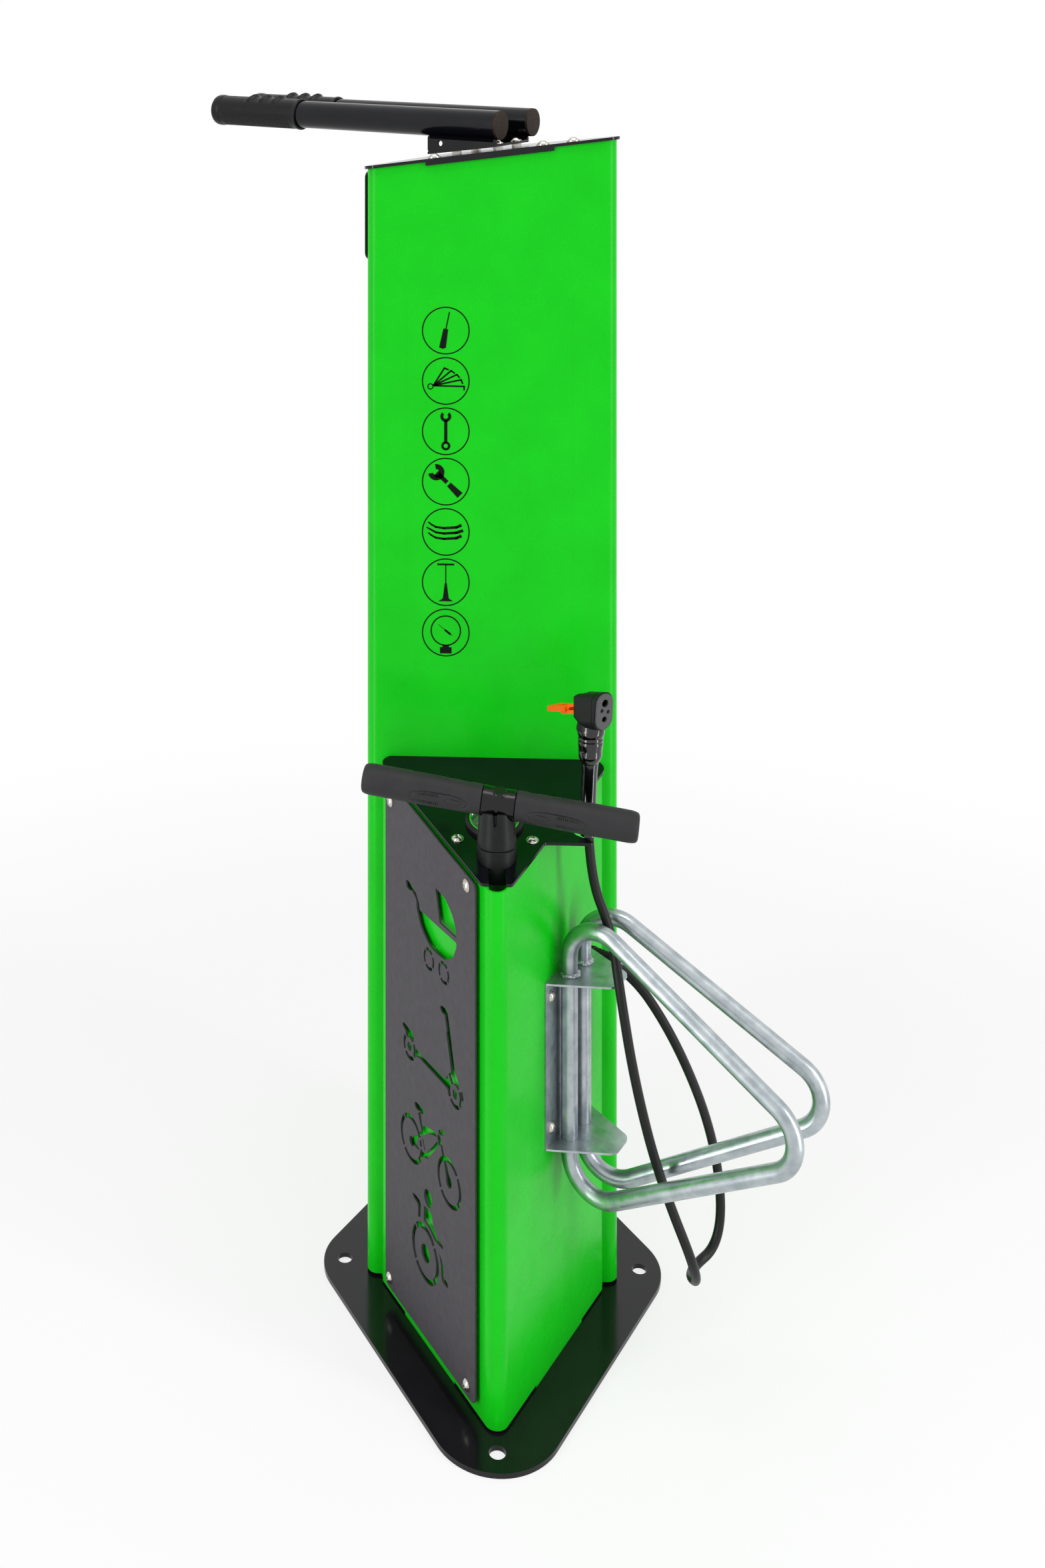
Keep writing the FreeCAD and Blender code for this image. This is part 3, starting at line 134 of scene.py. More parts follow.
def greenMaterial(name):
    material = newMaterial(name, "0CBE14", 0.26, 0.0, {"Specular IOR Level": 0.16})
    varyColour(material, "0BBA13", "0FC217", 60, 3)
    varyRoughness(material, 0.24, 0.32, 25)
    addGrain(material, 2.2, 0.012)
    return material


# Green powder coat, gloss: bright, with a faint orange peel that softens reflections
greenCoat = greenMaterial("greenPowderCoat")

# Charcoal powder coat on the thick base plate: smooth, mirrors the column near its foot
charcoalCoat = newMaterial("charcoalPowderCoat", "131215", 0.16, 0.0, {"Specular IOR Level": 0.3})
varyColour(charcoalCoat, "121114", "171619", 40, 3)
varyRoughness(charcoalCoat, 0.14, 0.2, 30)
addGrain(charcoalCoat, 1.6, 0.006)

# Black gloss powder coat of the shelf, arms and bracket: bluish black with sharp lights
blackCoat = newMaterial("blackGlossPowderCoat", "0B0C10", 0.12, 0.0, {"Specular IOR Level": 0.28})
varyColour(blackCoat, "0A0B0F", "0E0F14", 30, 3)
varyRoughness(blackCoat, 0.1, 0.15, 20)
addGrain(blackCoat, 2.0, 0.005)

# Fine textured powder coat of the panel: dark grey, dull, with a tight grain
panelCoat = newMaterial("texturedGreyPowderCoat", "454347", 0.6, 0.0, {"Specular IOR Level": 0.2})
varyColour(panelCoat, "434145", "49474B", 8, 3)
addGrain(panelCoat, 0.7, 0.03)

# Hot-dip galvanised steel: bright zinc with soft cloudy streaks
zinc = newMaterial("galvanisedSteel", "A9B1B5", 0.34, 0.9)
varyColour(zinc, "9CA5AA", "BCC3C6", 14, 4)
varyRoughness(zinc, 0.26, 0.42, 9, 3)
addGrain(zinc, 3.5, 0.02, 3)

# Zinc run together at the welds: lumpy and a little duller
zincWeld = newMaterial("galvanisedWeld", "BCC3C6", 0.38, 0.9)
varyColour(zincWeld, "8E979B", "C2C8CB", 3, 4)
addGrain(zincWeld, 1.6, 0.12, 3)

# Stainless steel screws: turned and polished, slightly warm
stainless = newMaterial("stainlessSteel", "C9C5BE", 0.2, 1.0)
varyRoughness(stainless, 0.16, 0.3, 2)

# Drawn steel tube inside the pump
drawnSteel = newMaterial("drawnSteel", "B4B4B4", 0.3, 1.0)
varyRoughness(drawnSteel, 0.24, 0.38, 3, 2, (1, 1, 0.1))

# Cast aluminium foot of the pump
castAluminium = newMaterial("castAluminium", "A9AAAC", 0.5, 1.0)
addGrain(castAluminium, 1.0, 0.06)

# Moulded nylon, spark-eroded grain: stem, pump head, glands
mouldedNylon = newMaterial("mouldedNylon", "101211", 0.42, 0.0, {"Specular IOR Level": 0.2})
varyColour(mouldedNylon, "0E100F", "141615", 5, 2)
addGrain(mouldedNylon, 0.8, 0.02)

# Polished nylon on the crown of the handle hub
polishedNylon = newMaterial("polishedNylon", "0C0C0C", 0.2, 0.0, {"Specular IOR Level": 0.35})
varyRoughness(polishedNylon, 0.16, 0.26, 6)
addGrain(polishedNylon, 3.0, 0.01)

# Shrunk polyolefin sleeve: very glossy, with soft folds
shrunkSleeve = newMaterial("shrunkPolyolefin", "040405", 0.11, 0.0,
                           {"Specular IOR Level": 0.5, "Coat Weight": 0.35, "Coat Roughness": 0.05})
varyRoughness(shrunkSleeve, 0.1, 0.18, 8)
addGrain(shrunkSleeve, 6.0, 0.05, 1)

# Soft thermoplastic rubber of the grips: dull charcoal with a fine matt grain
gripRubber = newMaterial("softGripRubber", "272628", 0.58, 0.0, {"Specular IOR Level": 0.25})
varyColour(gripRubber, "252426", "2B2A2C", 20, 3)
addGrain(gripRubber, 0.6, 0.02)

# Harder vinyl of the arm grips: black with a low sheen
armVinyl = newMaterial("vinylGrip", "0B0B0E", 0.33, 0.0, {"Specular IOR Level": 0.22})
varyRoughness(armVinyl, 0.32, 0.42, 10)
addGrain(armVinyl, 0.9, 0.02)

# End caps of the arms: rough brownish plastic
capPlastic = newMaterial("capPlastic", "30241E", 0.6, 0.0, {"Specular IOR Level": 0.2})
varyColour(capPlastic, "211814", "35281F", 2.5, 4)
addGrain(capPlastic, 0.9, 0.08)

# Woven-reinforced rubber hose: even black, faint cross grain
hoseRubber = newMaterial("hoseRubber", "111111", 0.42, 0.0, {"Specular IOR Level": 0.25})
varyColour(hoseRubber, "111111", "191919", 1.6, 2)
addGrain(hoseRubber, 0.9, 0.03)

# Nitrile rubber boot of the gauge
bootRubber = newMaterial("bootRubber", "111211", 0.45, 0.0, {"Specular IOR Level": 0.22})
addGrain(bootRubber, 1.0, 0.03)

# Glass-filled face of the pump head: greyer than its body
facePlastic = newMaterial("glassFilledNylon", "4C4C4E", 0.5, 0.0, {"Specular IOR Level": 0.22})
varyColour(facePlastic, "4A4A4C", "58585A", 1.5, 3)
addGrain(facePlastic, 0.6, 0.03)

# Orange acetal lever, moulded and smooth
orangeAcetal = newMaterial("orangeAcetal", "F26400", 0.34, 0.0, {"Specular IOR Level": 0.2})
varyColour(orangeAcetal, "EE6000", "F66A00", 9, 2)
addGrain(orangeAcetal, 1.5, 0.01)

# Green vinyl film laid on the column, as green as the coat under it
labelFilm = greenMaterial("greenVinylFilm")

# Black screen ink on the film and on the dial: dull, slightly uneven
blackInk = newMaterial("blackVinylInk", "060906", 0.35, 0.0, {"Specular IOR Level": 0.12})
varyRoughness(blackInk, 0.32, 0.4, 6)

# White enamel of the dial, painted a little grey as painted shade for lying behind its glass
dialPaint = newMaterial("dialEnamel", "B4B6B2", 0.5)
varyColour(dialPaint, "B0B2AE", "B8BAB6", 12)

# Blackened steel of the pump head's screws and pin
blackSteel = newMaterial("blackenedSteel", "17171A", 0.35, 0.7)
varyRoughness(blackSteel, 0.3, 0.42, 4)

# Red lacquer on the needle
needlePaint = newMaterial("needleLacquer", "B81414", 0.35)
varyRoughness(needlePaint, 0.3, 0.4, 4)

# Bright chrome on the gauge's ring
chromePlate = newMaterial("chromePlate", "D8D8D8", 0.08, 1.0)
varyRoughness(chromePlate, 0.06, 0.12, 6)

# Flat glass over the dial, faintly green
gaugeGlass = newMaterial("gaugeGlass", "C8D2C8", 0.02, 0.0, {"Transmission Weight": 1.0, "IOR": 1.5})
varyRoughness(gaugeGlass, 0.01, 0.03, 20)

print("materials made")

slotMaterials = {
    "green_paint": greenCoat, "black_satin": charcoalCoat, "black_gloss": blackCoat, "panel_grey": panelCoat,
    "galvanised": zinc, "stainless": stainless, "steel_tube": drawnSteel, "cast_metal": castAluminium,
    "black_plastic": mouldedNylon, "sleeve_plastic": shrunkSleeve, "grip_rubber": gripRubber,
    "hose_rubber": hoseRubber, "orange_plastic": orangeAcetal, "label_film": labelFilm,
    "dial_white": dialPaint, "needle_red": needlePaint, "chrome_ring": chromePlate, "clear_glass": gaugeGlass}
nodeMaterials = {
    "arm_plug_front": capPlastic, "arm_plug_back": capPlastic, "gauge_boot": bootRubber,
    "head_face": facePlastic, "head_face_screws": blackSteel, "lever_pin": blackSteel,
    "roof_plate": blackCoat, "rear_cover": blackCoat}

# Every solid gets its material: its own one, or else the one of its slot
nodeSlots = {row["node"]: row["material_slot"] for row in frame["record"]["subparts"]}
for nodeName, node in frame["nodes"].items():
    finish = nodeMaterials.get(nodeName) or slotMaterials[nodeSlots[nodeName]]
    node.data.materials.clear()
    node.data.materials.append(finish)


# Helpers for pieces: drawn in millimetres, finished in metres
def finishPiece(name, bm, materials, body, replaced=(), place=Matrix.Identity(4), sharp=35):
    bmesh.ops.transform(bm, matrix=Matrix.Scale(mm, 4) @ place, verts=bm.verts)
    mesh = bpy.data.meshes.new(name)
    bm.to_mesh(mesh)
    bm.free()
    for material in materials:
        mesh.materials.append(material)
    mesh.shade_smooth()
    mesh.set_sharp_from_angle(angle=radians(sharp))
    piece = bpy.data.objects.new(name, mesh)
    bpy.context.collection.objects.link(piece)
    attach(piece, body)
    if replaced:
        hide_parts(*replaced)
    return piece


def smoothLine(points, step):
    # Points on a smooth line through the given (radius, height) pairs, about step apart
    line = []
    last = len(points) - 1
    for i in range(last):
        before, a, b, after = (Vector(points[max(0, min(last, i + k))]) for k in (-1, 0, 1, 2))
        parts = max(1, round((b - a).length / step))
        for k in range(parts):
            t = k / parts
            line.append(a * (1 - 3 * t * t + 2 * t ** 3) + b * (3 * t * t - 2 * t ** 3)
                        + (b - before) * 0.5 * (t ** 3 - 2 * t * t + t)
                        + (after - a) * 0.5 * (t ** 3 - t * t))
    line.append(Vector(points[-1]))
    return line


def spun(line, steps=96):
    bm = bmesh.new()
    verts = [bm.verts.new((p[0], 0, p[1])) for p in line]
    edges = [bm.edges.new(pair) for pair in zip(verts, verts[1:])]
    bmesh.ops.spin(bm, geom=verts + edges, cent=(0, 0, 0), axis=(0, 0, 1), angle=2 * pi, steps=steps,
                   use_merge=True)
    bmesh.ops.remove_doubles(bm, verts=bm.verts, dist=0.001)
    bmesh.ops.recalc_face_normals(bm, faces=bm.faces)
    return bm


def mergeInto(target, source):
    spare = bpy.data.meshes.new("spare")
    source.to_mesh(spare)
    source.free()
    target.from_mesh(spare)
    bpy.data.meshes.remove(spare)


def turnAbout(axis, angle):
    return Matrix.Rotation(radians(angle), 4, axis)


def radiusOf(v):
    return Vector((v.co.x, v.co.y, 0)).length


def besideFace(along, off, z):
    # Millimetres along and off the line through the origin that is parallel to the column's hidden left-back face
    return Vector((along * 0.5 - off * sin60, along * sin60 + off * 0.5, z))


def softStep(x):
    # 0 up to x = 0, 1 from x = 1, smooth between
    return 0.5 - 0.5 * cos(pi * max(0.0, min(1.0, x)))


# Hose: from the sleeve under the pump head, round the wheel holder and back to the gland
hoseSettings = {"radius": 5.0, "length": 0.98}
hoseRoute = [
    (0.0960, -0.1245, 0.5900), (0.0960, -0.1245, 0.5200), (0.1214, -0.1164, 0.4527), (0.1258, -0.1464, 0.4110),
    (0.1409, -0.1475, 0.3175), (0.1661, -0.1425, 0.2180), (0.2084, -0.1481, 0.1141), (0.2022, -0.0800, 0.0777),
    (0.2476, -0.0501, 0.0939), (0.2402, -0.0453, 0.1977), (0.1914, -0.0851, 0.3288), (0.1396, -0.0622, 0.3960),
    (0.0985, -0.0385, 0.3960)]
hoseCurve = bpy.data.curves.new("hoseTube", "CURVE")
hoseCurve.dimensions = "3D"
hoseCurve.resolution_u = 24
hoseCurve.bevel_depth = hoseSettings["radius"] * mm
hoseCurve.bevel_resolution = 7
hoseCurve.use_fill_caps = True
hoseLine = hoseCurve.splines.new("NURBS")
hoseLine.points.add(len(hoseRoute) - 1)
for point, place in zip(hoseLine.points, hoseRoute):
    point.co = (*place, 1)
hoseLine.order_u = 3
hoseLine.use_endpoint_u = True
hoseCurve.materials.append(hoseRubber)
hoseTube = bpy.data.objects.new("hoseTube", hoseCurve)
bpy.context.collection.objects.link(hoseTube)
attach(hoseTube, "station")
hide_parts("air_hose")

# Rubber cone where the hose leaves the housing
reliefSettings = {"bore": 5.06, "root": 7.6, "tip": 5.7, "length": 24.0, "flange": 2.5, "ribs": 5, "ribPitch": 4.2,
                  "groove": 0.8, "faceTurn": -120, "along": 15.9, "off": 115.6, "height": 396.0}
root, tip, groove = (reliefSettings[key] for key in ("root", "tip", "groove"))
reliefLine = [(reliefSettings["bore"], 0), (root, 0), (root, reliefSettings["flange"])]
for k in range(reliefSettings["ribs"]):
    reach = 3.0 + k * reliefSettings["ribPitch"]
    radius = root - 0.5 + (tip - root + 0.5) * k / reliefSettings["ribs"]
    reliefLine += [(radius, reach), (radius - 0.1, reach + 2.6), (radius - groove, reach + 3.0),
                   (radius - groove, reach + 3.9)]
reliefLine += [(tip, reliefSettings["length"]), (reliefSettings["bore"], reliefSettings["length"])]
reliefPlace = (turnAbout("Z", reliefSettings["faceTurn"])
               @ Matrix.Translation((-reliefSettings["along"], reliefSettings["off"], reliefSettings["height"]))
               @ turnAbout("X", -90))
finishPiece("hoseRelief", spun(reliefLine, 48), [bootRubber], "station", place=reliefPlace)
print("camera and hose laid")

# Sleeve shrunk over the hose: round, with shallow dents along it; it leans as it rises
sleeveSettings = {"x": 96.0, "y": -124.5, "low": 557.4, "high": 634.0, "dent": 0.018,
                  "lean": 0.036, "leanFrom": 582.0}
sleevePlace = Matrix.Translation((sleeveSettings["x"], sleeveSettings["y"], 0))


def leanAside(v):
    v.co.x += sleeveSettings["lean"] * max(0.0, v.co.z - sleeveSettings["leanFrom"])


sleeveLine = [(5.05, sleeveSettings["low"]), (7.9, sleeveSettings["low"]), (8.15, 560.0), (8.2, 575.0), (8.1, 600.0),
              (8.2, 620.0), (8.2, sleeveSettings["high"]), (3.0, sleeveSettings["high"])]
sleeveBm = spun(smoothLine(sleeveLine, 1.6), 64)
for v in sleeveBm.verts:
    if radiusOf(v) > 7:
        dent = noise.noise(Vector((v.co.x * 0.05, v.co.y * 0.05, v.co.z * 0.03)))
        v.co.xy *= 1 + sleeveSettings["dent"] * (dent - 0.3)
    leanAside(v)
hoseSleeve = finishPiece("shrunkSleeve", sleeveBm, [shrunkSleeve], "station", ("hose_sleeve",),
                         sleevePlace)

# Collar shrunk over the neck of the pump head: two creases, one dent, a wavy upper rim
collarSettings = {"radius": 12, "wobble": 0.22, "fold": 0.1, "dent": 0.7, "dentAngle": -2.5, "dentHeight": 645.5,
                  "rim": 664.0, "rimWave": 1.4}
collarLine = [(3.0, 630.4), (8.3, 630.4), (8.9, 632.4), (10.6, 635.4), (11.8, 638.6), (12.1, 642.0), (12.2, 646.0),
              (12.7, 650.0), (13.1, 652.8), (12.6, 654.9), (13.2, 657.0), (12.7, 659.0), (13.4, 661.0), (14.0, 663.4),
              (14.0, 666.0), (13.4, 668.6), (12.9, 671.0), (12.2, 671.4), (8.0, 668.0), (3.0, 668.0)]
collarBm = spun(smoothLine(collarLine, 0.6), 120)
for v in collarBm.verts:
    if radiusOf(v) > 8.5:
        angle = atan2(v.co.y, v.co.x)
        wobble = noise.noise(Vector((cos(angle) * 1.1, sin(angle) * 1.1, v.co.z * 0.07)))
        fold = noise.noise(Vector((cos(angle) * 2.4, sin(angle) * 2.4, v.co.z * 0.2 + 7)))
        dent = exp(-((angle - collarSettings["dentAngle"]) / 0.5) ** 2
                   - ((v.co.z - collarSettings["dentHeight"]) / 3.5) ** 2)
        swell = (wobble * collarSettings["wobble"] + fold * collarSettings["fold"]
                 - dent * collarSettings["dent"])
        v.co.xy *= 1 + swell / collarSettings["radius"]
        v.co.z += 0.5 * wobble + collarSettings["rimWave"] * fold * softStep((v.co.z - collarSettings["rim"]) / 6)
    leanAside(v)
collarPiece = finishPiece("headCollar", collarBm, [shrunkSleeve], "station", ("head_collar",),
                          sleevePlace)
print("sleeve and collar made")

# Pump handle: the bar is drawn about its own middle, then laid a little out of level on the stem
handleSettings = {"x": 1.2, "y": -160.0, "z": 603.2, "turn": -7.5, "tilt": 6.3, "shift": 2.0,
                  "hubHalf": 17.0, "half": 140.3}
handlePlace = (Matrix.Translation((handleSettings["x"], handleSettings["y"], 0))
               @ turnAbout("Z", handleSettings["turn"]))
barPlace = (Matrix.Translation((handleSettings["shift"], 0, handleSettings["z"]))
            @ turnAbout("Y", handleSettings["tilt"]))
gripSettings = {"panelFrom": 31.0, "panelTo": 88.5, "panelHalf": 7.6, "depth": 1.1, "loopDepth": 0.9,
                "ribHeight": 0.6, "ribPitch": 2.1, "sunk": 0.25, "anglesUp": (-14, 110)}


def gripRelief(x, arc):
    # Height of the moulded oval at x along the grip and arc across it, both in millimetres:
    # a groove round it, a comb of ribs in its outer part and a loop in its inner part
    middle = (gripSettings["panelFrom"] + gripSettings["panelTo"]) / 2
    half = (gripSettings["panelTo"] - gripSettings["panelFrom"]) / 2
    u = (x - middle) / half
    v = arc / gripSettings["panelHalf"]
    far = (abs(u) ** 2.6 + abs(v) ** 2.4) ** 0.5
    if far > 1.2:
        return 0.0
    edge = -gripSettings["depth"] * exp(-((far - 1.0) / 0.08) ** 2)
    inside = 1 - softStep((far - 0.8) / 0.15)
    comb = softStep((u + 0.1) / 0.15) * softStep((abs(v) - 0.25) / 0.2)
    ribs = gripSettings["ribHeight"] * cos(2 * pi * x / gripSettings["ribPitch"]) * inside * comb
    swirl = sqrt(((u + 0.55) / 0.4) ** 2 + (v / 0.6) ** 2)
    loop = -gripSettings["loopDepth"] * exp(-((swirl - 0.72) / 0.13) ** 2) * (1 - softStep((u + 0.2) / 0.1))
    return edge + ribs + loop - gripSettings["sunk"] * inside


for sign, sideName in ((-1, "Left"), (1, "Right")):
    start = handleSettings["hubHalf"] + 0.15
    half = handleSettings["half"]
    gripLine = smoothLine([(12.6, start), (14.1, start + 0.2), (14.55, start + 1.1), (14.8, start + 4), (15.15, 50.0),
                           (15.45, 85.0), (15.45, half - 15), (15.2, half - 7), (14.3, half - 2.6),
                           (12.7, half - 0.7), (10.4, half), (6.0, half)], 0.62)
    gripBm = spun([(6.1, start)] + gripLine + [(0, half)], 180)
    for v in gripBm.verts:
        radius = radiusOf(v)
        if radius > 13.5 and start + 2 < v.co.z < half - 3:
            # Angle round the bar: 0 to the front, 90 upward
            angle = degrees(atan2(-v.co.x * sign, -v.co.y))
            lift = sum(gripRelief(v.co.z, radians(angle - middle) * radius) for middle in gripSettings["anglesUp"])
            v.co.xy *= 1 + lift / radius
    finishPiece("handleGrip" + sideName, gripBm, [gripRubber], "handle",
                ("handle_grip_" + sideName.lower(),), handlePlace @ barPlace @ turnAbout("Y", 90 * sign), 50)

# Hub: a grained stem up to a ledge round the bar, a polished crown, and a round plug tipped to the front
hubSettings = {"bore": 4.1, "crown": 14.7, "ledge": 597.0, "bend": 580.0, "plugTip": 21,
               "slotLow": 585.6, "slotHalf": 1.3, "slotDepth": 3.2,
               "holeRadius": 3.4, "holeFront": 13.6, "holeDepth": 3.0}
bore, crown, ledge, bend = (hubSettings[key] for key in ("bore", "crown", "ledge", "bend"))
stemLine = [(7.4, 560.5), (19.2, 560.5), (19.8, 561.1), (19.8, 565.0), (19.5, 570.0), (18.9, 577.0), (18.5, 584.0),
            (18.2, 590.0), (17.9, 595.4), (17.3, 596.6), (16.4, ledge), (12.0, ledge), (bore, ledge), (bore, 575.0),
            (7.4, 573.5), (7.4, 560.5)]
stemBm = spun(smoothLine(stemLine, 0.7), 240)
for v in stemBm.verts:
    if radiusOf(v) < bore + 0.4:
        continue
    # Keyhole: a slot down the front and a round hole where it meets the ledge
    front = 1 - softStep((abs(v.co.x) - hubSettings["slotHalf"] + 0.2) / 0.45)
    if v.co.y < -14 and v.co.z > hubSettings["slotLow"] and front > 0:
        v.co.y += hubSettings["slotDepth"] * front
    fromHole = Vector((v.co.x, v.co.y + hubSettings["holeFront"], 0)).length
    if fromHole < hubSettings["holeRadius"] and v.co.z > ledge - 1:
        v.co.z -= hubSettings["holeDepth"]
    if v.co.z > bend:
        # The top follows the bar: a ledge in front and behind, low under both grips
        middle = handleSettings["z"] - (v.co.x - handleSettings["shift"]) * tan(radians(handleSettings["tilt"]))
        rim = min(ledge, middle - sqrt(max(0.0, crown ** 2 - v.co.y ** 2)) - 0.4)
        v.co.z = bend + (v.co.z - bend) * (rim - bend) / (ledge - bend)
hubHalf = handleSettings["hubHalf"]
crownLine = [(10.0, -hubHalf), (crown - 0.8, -16.9), (crown, -16.2), (crown - 0.3, -9.0), (crown - 0.6, 0.0),
             (crown - 0.3, 9.0), (crown, 16.2), (crown - 0.8, 16.9), (10.0, hubHalf)]
crownBm = spun(smoothLine(crownLine, 1.0), 128)
bmesh.ops.transform(crownBm, matrix=barPlace @ turnAbout("Y", 90), verts=crownBm.verts)
plugLine = [(0, crown + 0.35), (5.8, crown + 0.35), (6.8, crown + 0.15), (7.3, crown - 0.5), (7.5, crown - 2.0),
            (7.5, crown - 5.0)]
plugBm = spun(smoothLine(plugLine, 0.5), 64)
bmesh.ops.transform(plugBm, matrix=barPlace @ turnAbout("X", hubSettings["plugTip"]), verts=plugBm.verts)
for part in (crownBm, plugBm):
    for face in part.faces:
        face.material_index = 1
    mergeInto(stemBm, part)
finishPiece("handleHub", stemBm, [mouldedNylon, polishedNylon], "handle",
            ("handle_hub", "handle_cap"), handlePlace)
print("pump handle made")

# Arm grips: slipped over tubes that rise outward, three fins on top, fine ribs underneath
armSettings = {"along": (36.0, 114.0), "off": (7.3, 6.2), "z": (1299.4, 1307.2), "rise": 0.0845,
               "gripFrom": 281.0, "gripTo": 416.0, "boreUpTo": 17.2,
               "finsAt": (309.0, 329.0, 349.0), "finWidth": 11.0, "finHeight": 3.9, "finHalf": 62, "finLean": 10.0,
               "ribsFrom": 96, "ribs": 45, "ribDepth": 0.8}
rise = atan2(armSettings["rise"], 1)
out = Vector((-sin60 * cos(rise), 0.5 * cos(rise), sin(rise)))
side = out.cross(Vector((0, 0, 1))).normalized()
armTurn = Matrix((side.cross(out), side, out)).transposed().to_4x4()
a, b = armSettings["gripFrom"], armSettings["gripTo"]
armLine = smoothLine([(16.9, a + 0.4), (17.6, a), (18.9, a + 0.2), (19.5, a + 1.4), (19.5, a + 3.4), (18.9, a + 4.9),
                      (18.7, a + 7), (18.75, a + 40), (18.75, b - 15), (18.9, b - 13), (19.4, b - 11), (19.5, b - 7),
                      (19.2, b - 4), (18.2, b - 1.8), (16.4, b - 0.5), (14.0, b), (6.0, b)], 1.15)
for along, off, z, sideName in zip(armSettings["along"], armSettings["off"], armSettings["z"], ("Front", "Back")):
    gripBm = spun([(16.88, a + 0.5)] + armLine + [(0, b)], 300)
    for v in gripBm.verts:
        radius = radiusOf(v)
        if radius < armSettings["boreUpTo"]:
            continue
        # Angle round the tube from its top, the same to both sides
        angle = abs(degrees(atan2(v.co.y, v.co.x)))
        lift = 0.0
        # Fins: highest on top, narrower and farther out on their way down
        down = angle / armSettings["finHalf"]
        finHeight = armSettings["finHeight"] * max(0.0, 1 - down ** 2.4)
        finWidth = armSettings["finWidth"] * (1 - 0.35 * min(1, down))
        for finAt in armSettings["finsAt"]:
            share = (v.co.z - finAt - armSettings["finLean"] * down ** 1.6) / finWidth
            if 0 < share < 1:
                lift += finHeight * (softStep(share / 0.55) if share < 0.55 else 1 - softStep((share - 0.55) / 0.45))
        under = angle - armSettings["ribsFrom"]
        if under > 0 and a + 9 < v.co.z < b - 16:
            fade = softStep((v.co.z - a - 9) / 3) * softStep((b - 16 - v.co.z) / 3) * softStep(under / 3)
            lift -= armSettings["ribDepth"] * fade * (0.5 + 0.5 * cos(radians(angle) * armSettings["ribs"]))
        v.co.xy *= 1 + lift / radius
    finishPiece("armGrip" + sideName, gripBm, [armVinyl], "station",
                ("arm_grip_" + sideName.lower(),), Matrix.Translation(besideFace(along, off, z)) @ armTurn, 60)
print("arm grips made")

# Line icons printed on the label: x across, z up, in millimetres, laid just in front of the film
labelSettings = {"x": -51.6, "top": 1067.4, "pitch": 56.4, "ring": 26.85, "line": 1.5, "front": -0.17}


def addPatch(bm, points):
    verts = [bm.verts.new((x, labelSettings["front"], z)) for x, z in points]
    return bm.faces.new(verts)


def addRing(bm, cx, cz, outer, inner, start=0, stop=360, steps=72):
    # Flat ring, or the part of it between two angles
    for k in range(steps):
        a0 = radians(start + (stop - start) * k / steps)
        a1 = radians(start + (stop - start) * (k + 1) / steps)
        addPatch(bm, [(cx + outer * cos(a0), cz + outer * sin(a0)), (cx + outer * cos(a1), cz + outer * sin(a1)),
                      (cx + inner * cos(a1), cz + inner * sin(a1)), (cx + inner * cos(a0), cz + inner * sin(a0))])


def addStroke(bm, points, width, endWidth=None):
    # Broad line through the points, round at its bends, from one width to the other
    endWidth = width if endWidth is None else endWidth
    count = len(points) - 1
    for i in range(count):
        a = Vector(points[i])
        b = Vector(points[i + 1])
        run = (b - a).normalized()
        side = Vector((-run.y, run.x))
        halfA = (width + (endWidth - width) * i / count) / 2
        halfB = (width + (endWidth - width) * (i + 1) / count) / 2
        addPatch(bm, [a + side * halfA, a - side * halfA, b - side * halfB, b + side * halfB])
        if i:
            addRing(bm, a.x, a.y, halfA, 0.001, steps=12)


iconBm = bmesh.new()
iconZ = [labelSettings["top"] - labelSettings["pitch"] * k for k in range(7)]
ix = labelSettings["x"]
for z in iconZ:
    addRing(iconBm, ix, z, labelSettings["ring"], labelSettings["ring"] - labelSettings["line"], steps=96)
# Screwdriver
z = iconZ[0]
addStroke(iconBm, [(ix + 4.2, z + 21), (ix + 0.2, z + 2)], 1.5)
addPatch(iconBm, [(ix - 2.6, z + 2.6), (ix - 7.6, z - 18.8), (ix - 3.6, z - 20.6), (ix + 0.2, z - 19.4),
                  (ix + 2.8, z + 1.4)])
# Hex keys in a fan
z = iconZ[1]
addRing(iconBm, ix - 17.2, z - 6.2, 3.6, 2.2, steps=32)
for tip, hook in (((-1.5, 14.5), (3.5, 12.2)), ((6.0, 11.5), (10.2, 8.4)), ((12.5, 7.2), (15.6, 3.4)),
                  ((17.2, 1.4), (19.0, -3.4)), ((20.6, -6.0), (20.6, -10.6))):
    addStroke(iconBm, [(ix - 14.0, z - 5.4), (ix + tip[0], z + tip[1]), (ix + hook[0], z + hook[1])], 2.0)
# Combination spanner
z = iconZ[2]
addStroke(iconBm, [(ix, z + 12.5), (ix, z - 12.5)], 3.8)
addRing(iconBm, ix, z - 16.4, 5.2, 2.3, steps=40)
addRing(iconBm, ix, z + 16.6, 6.2, 2.6, 130, 410, steps=48)
# Adjustable wrench
z = iconZ[3]
addStroke(iconBm, [(ix - 7.0, z + 7.2), (ix + 1.5, z - 1.0)], 5.0)
addStroke(iconBm, [(ix + 3.4, z - 3.0), (ix + 16.0, z - 15.4)], 6.0, 8.0)
addRing(iconBm, ix - 10.6, z + 10.4, 9.2, 3.4, -170, 100, steps=48)
addPatch(iconBm, [(ix - 13.5, z + 6.5), (ix - 8.0, z + 12.4), (ix - 5.0, z + 8.4), (ix - 9.6, z + 3.4)])
# Tyre levers
z = iconZ[4]
for lift in (-6.0, 0.0, 6.0):
    short = abs(lift) * 0.3
    addStroke(iconBm, [(ix - 21.5 + short, z + lift + 5.2), (ix - 16.5, z + lift + 2.4), (ix - 11, z + lift - 0.6),
                       (ix - 2, z + lift - 1.8), (ix + 12, z + lift - 0.8), (ix + 19.5 - short, z + lift + 1.8)],
              1.6, 3.6)
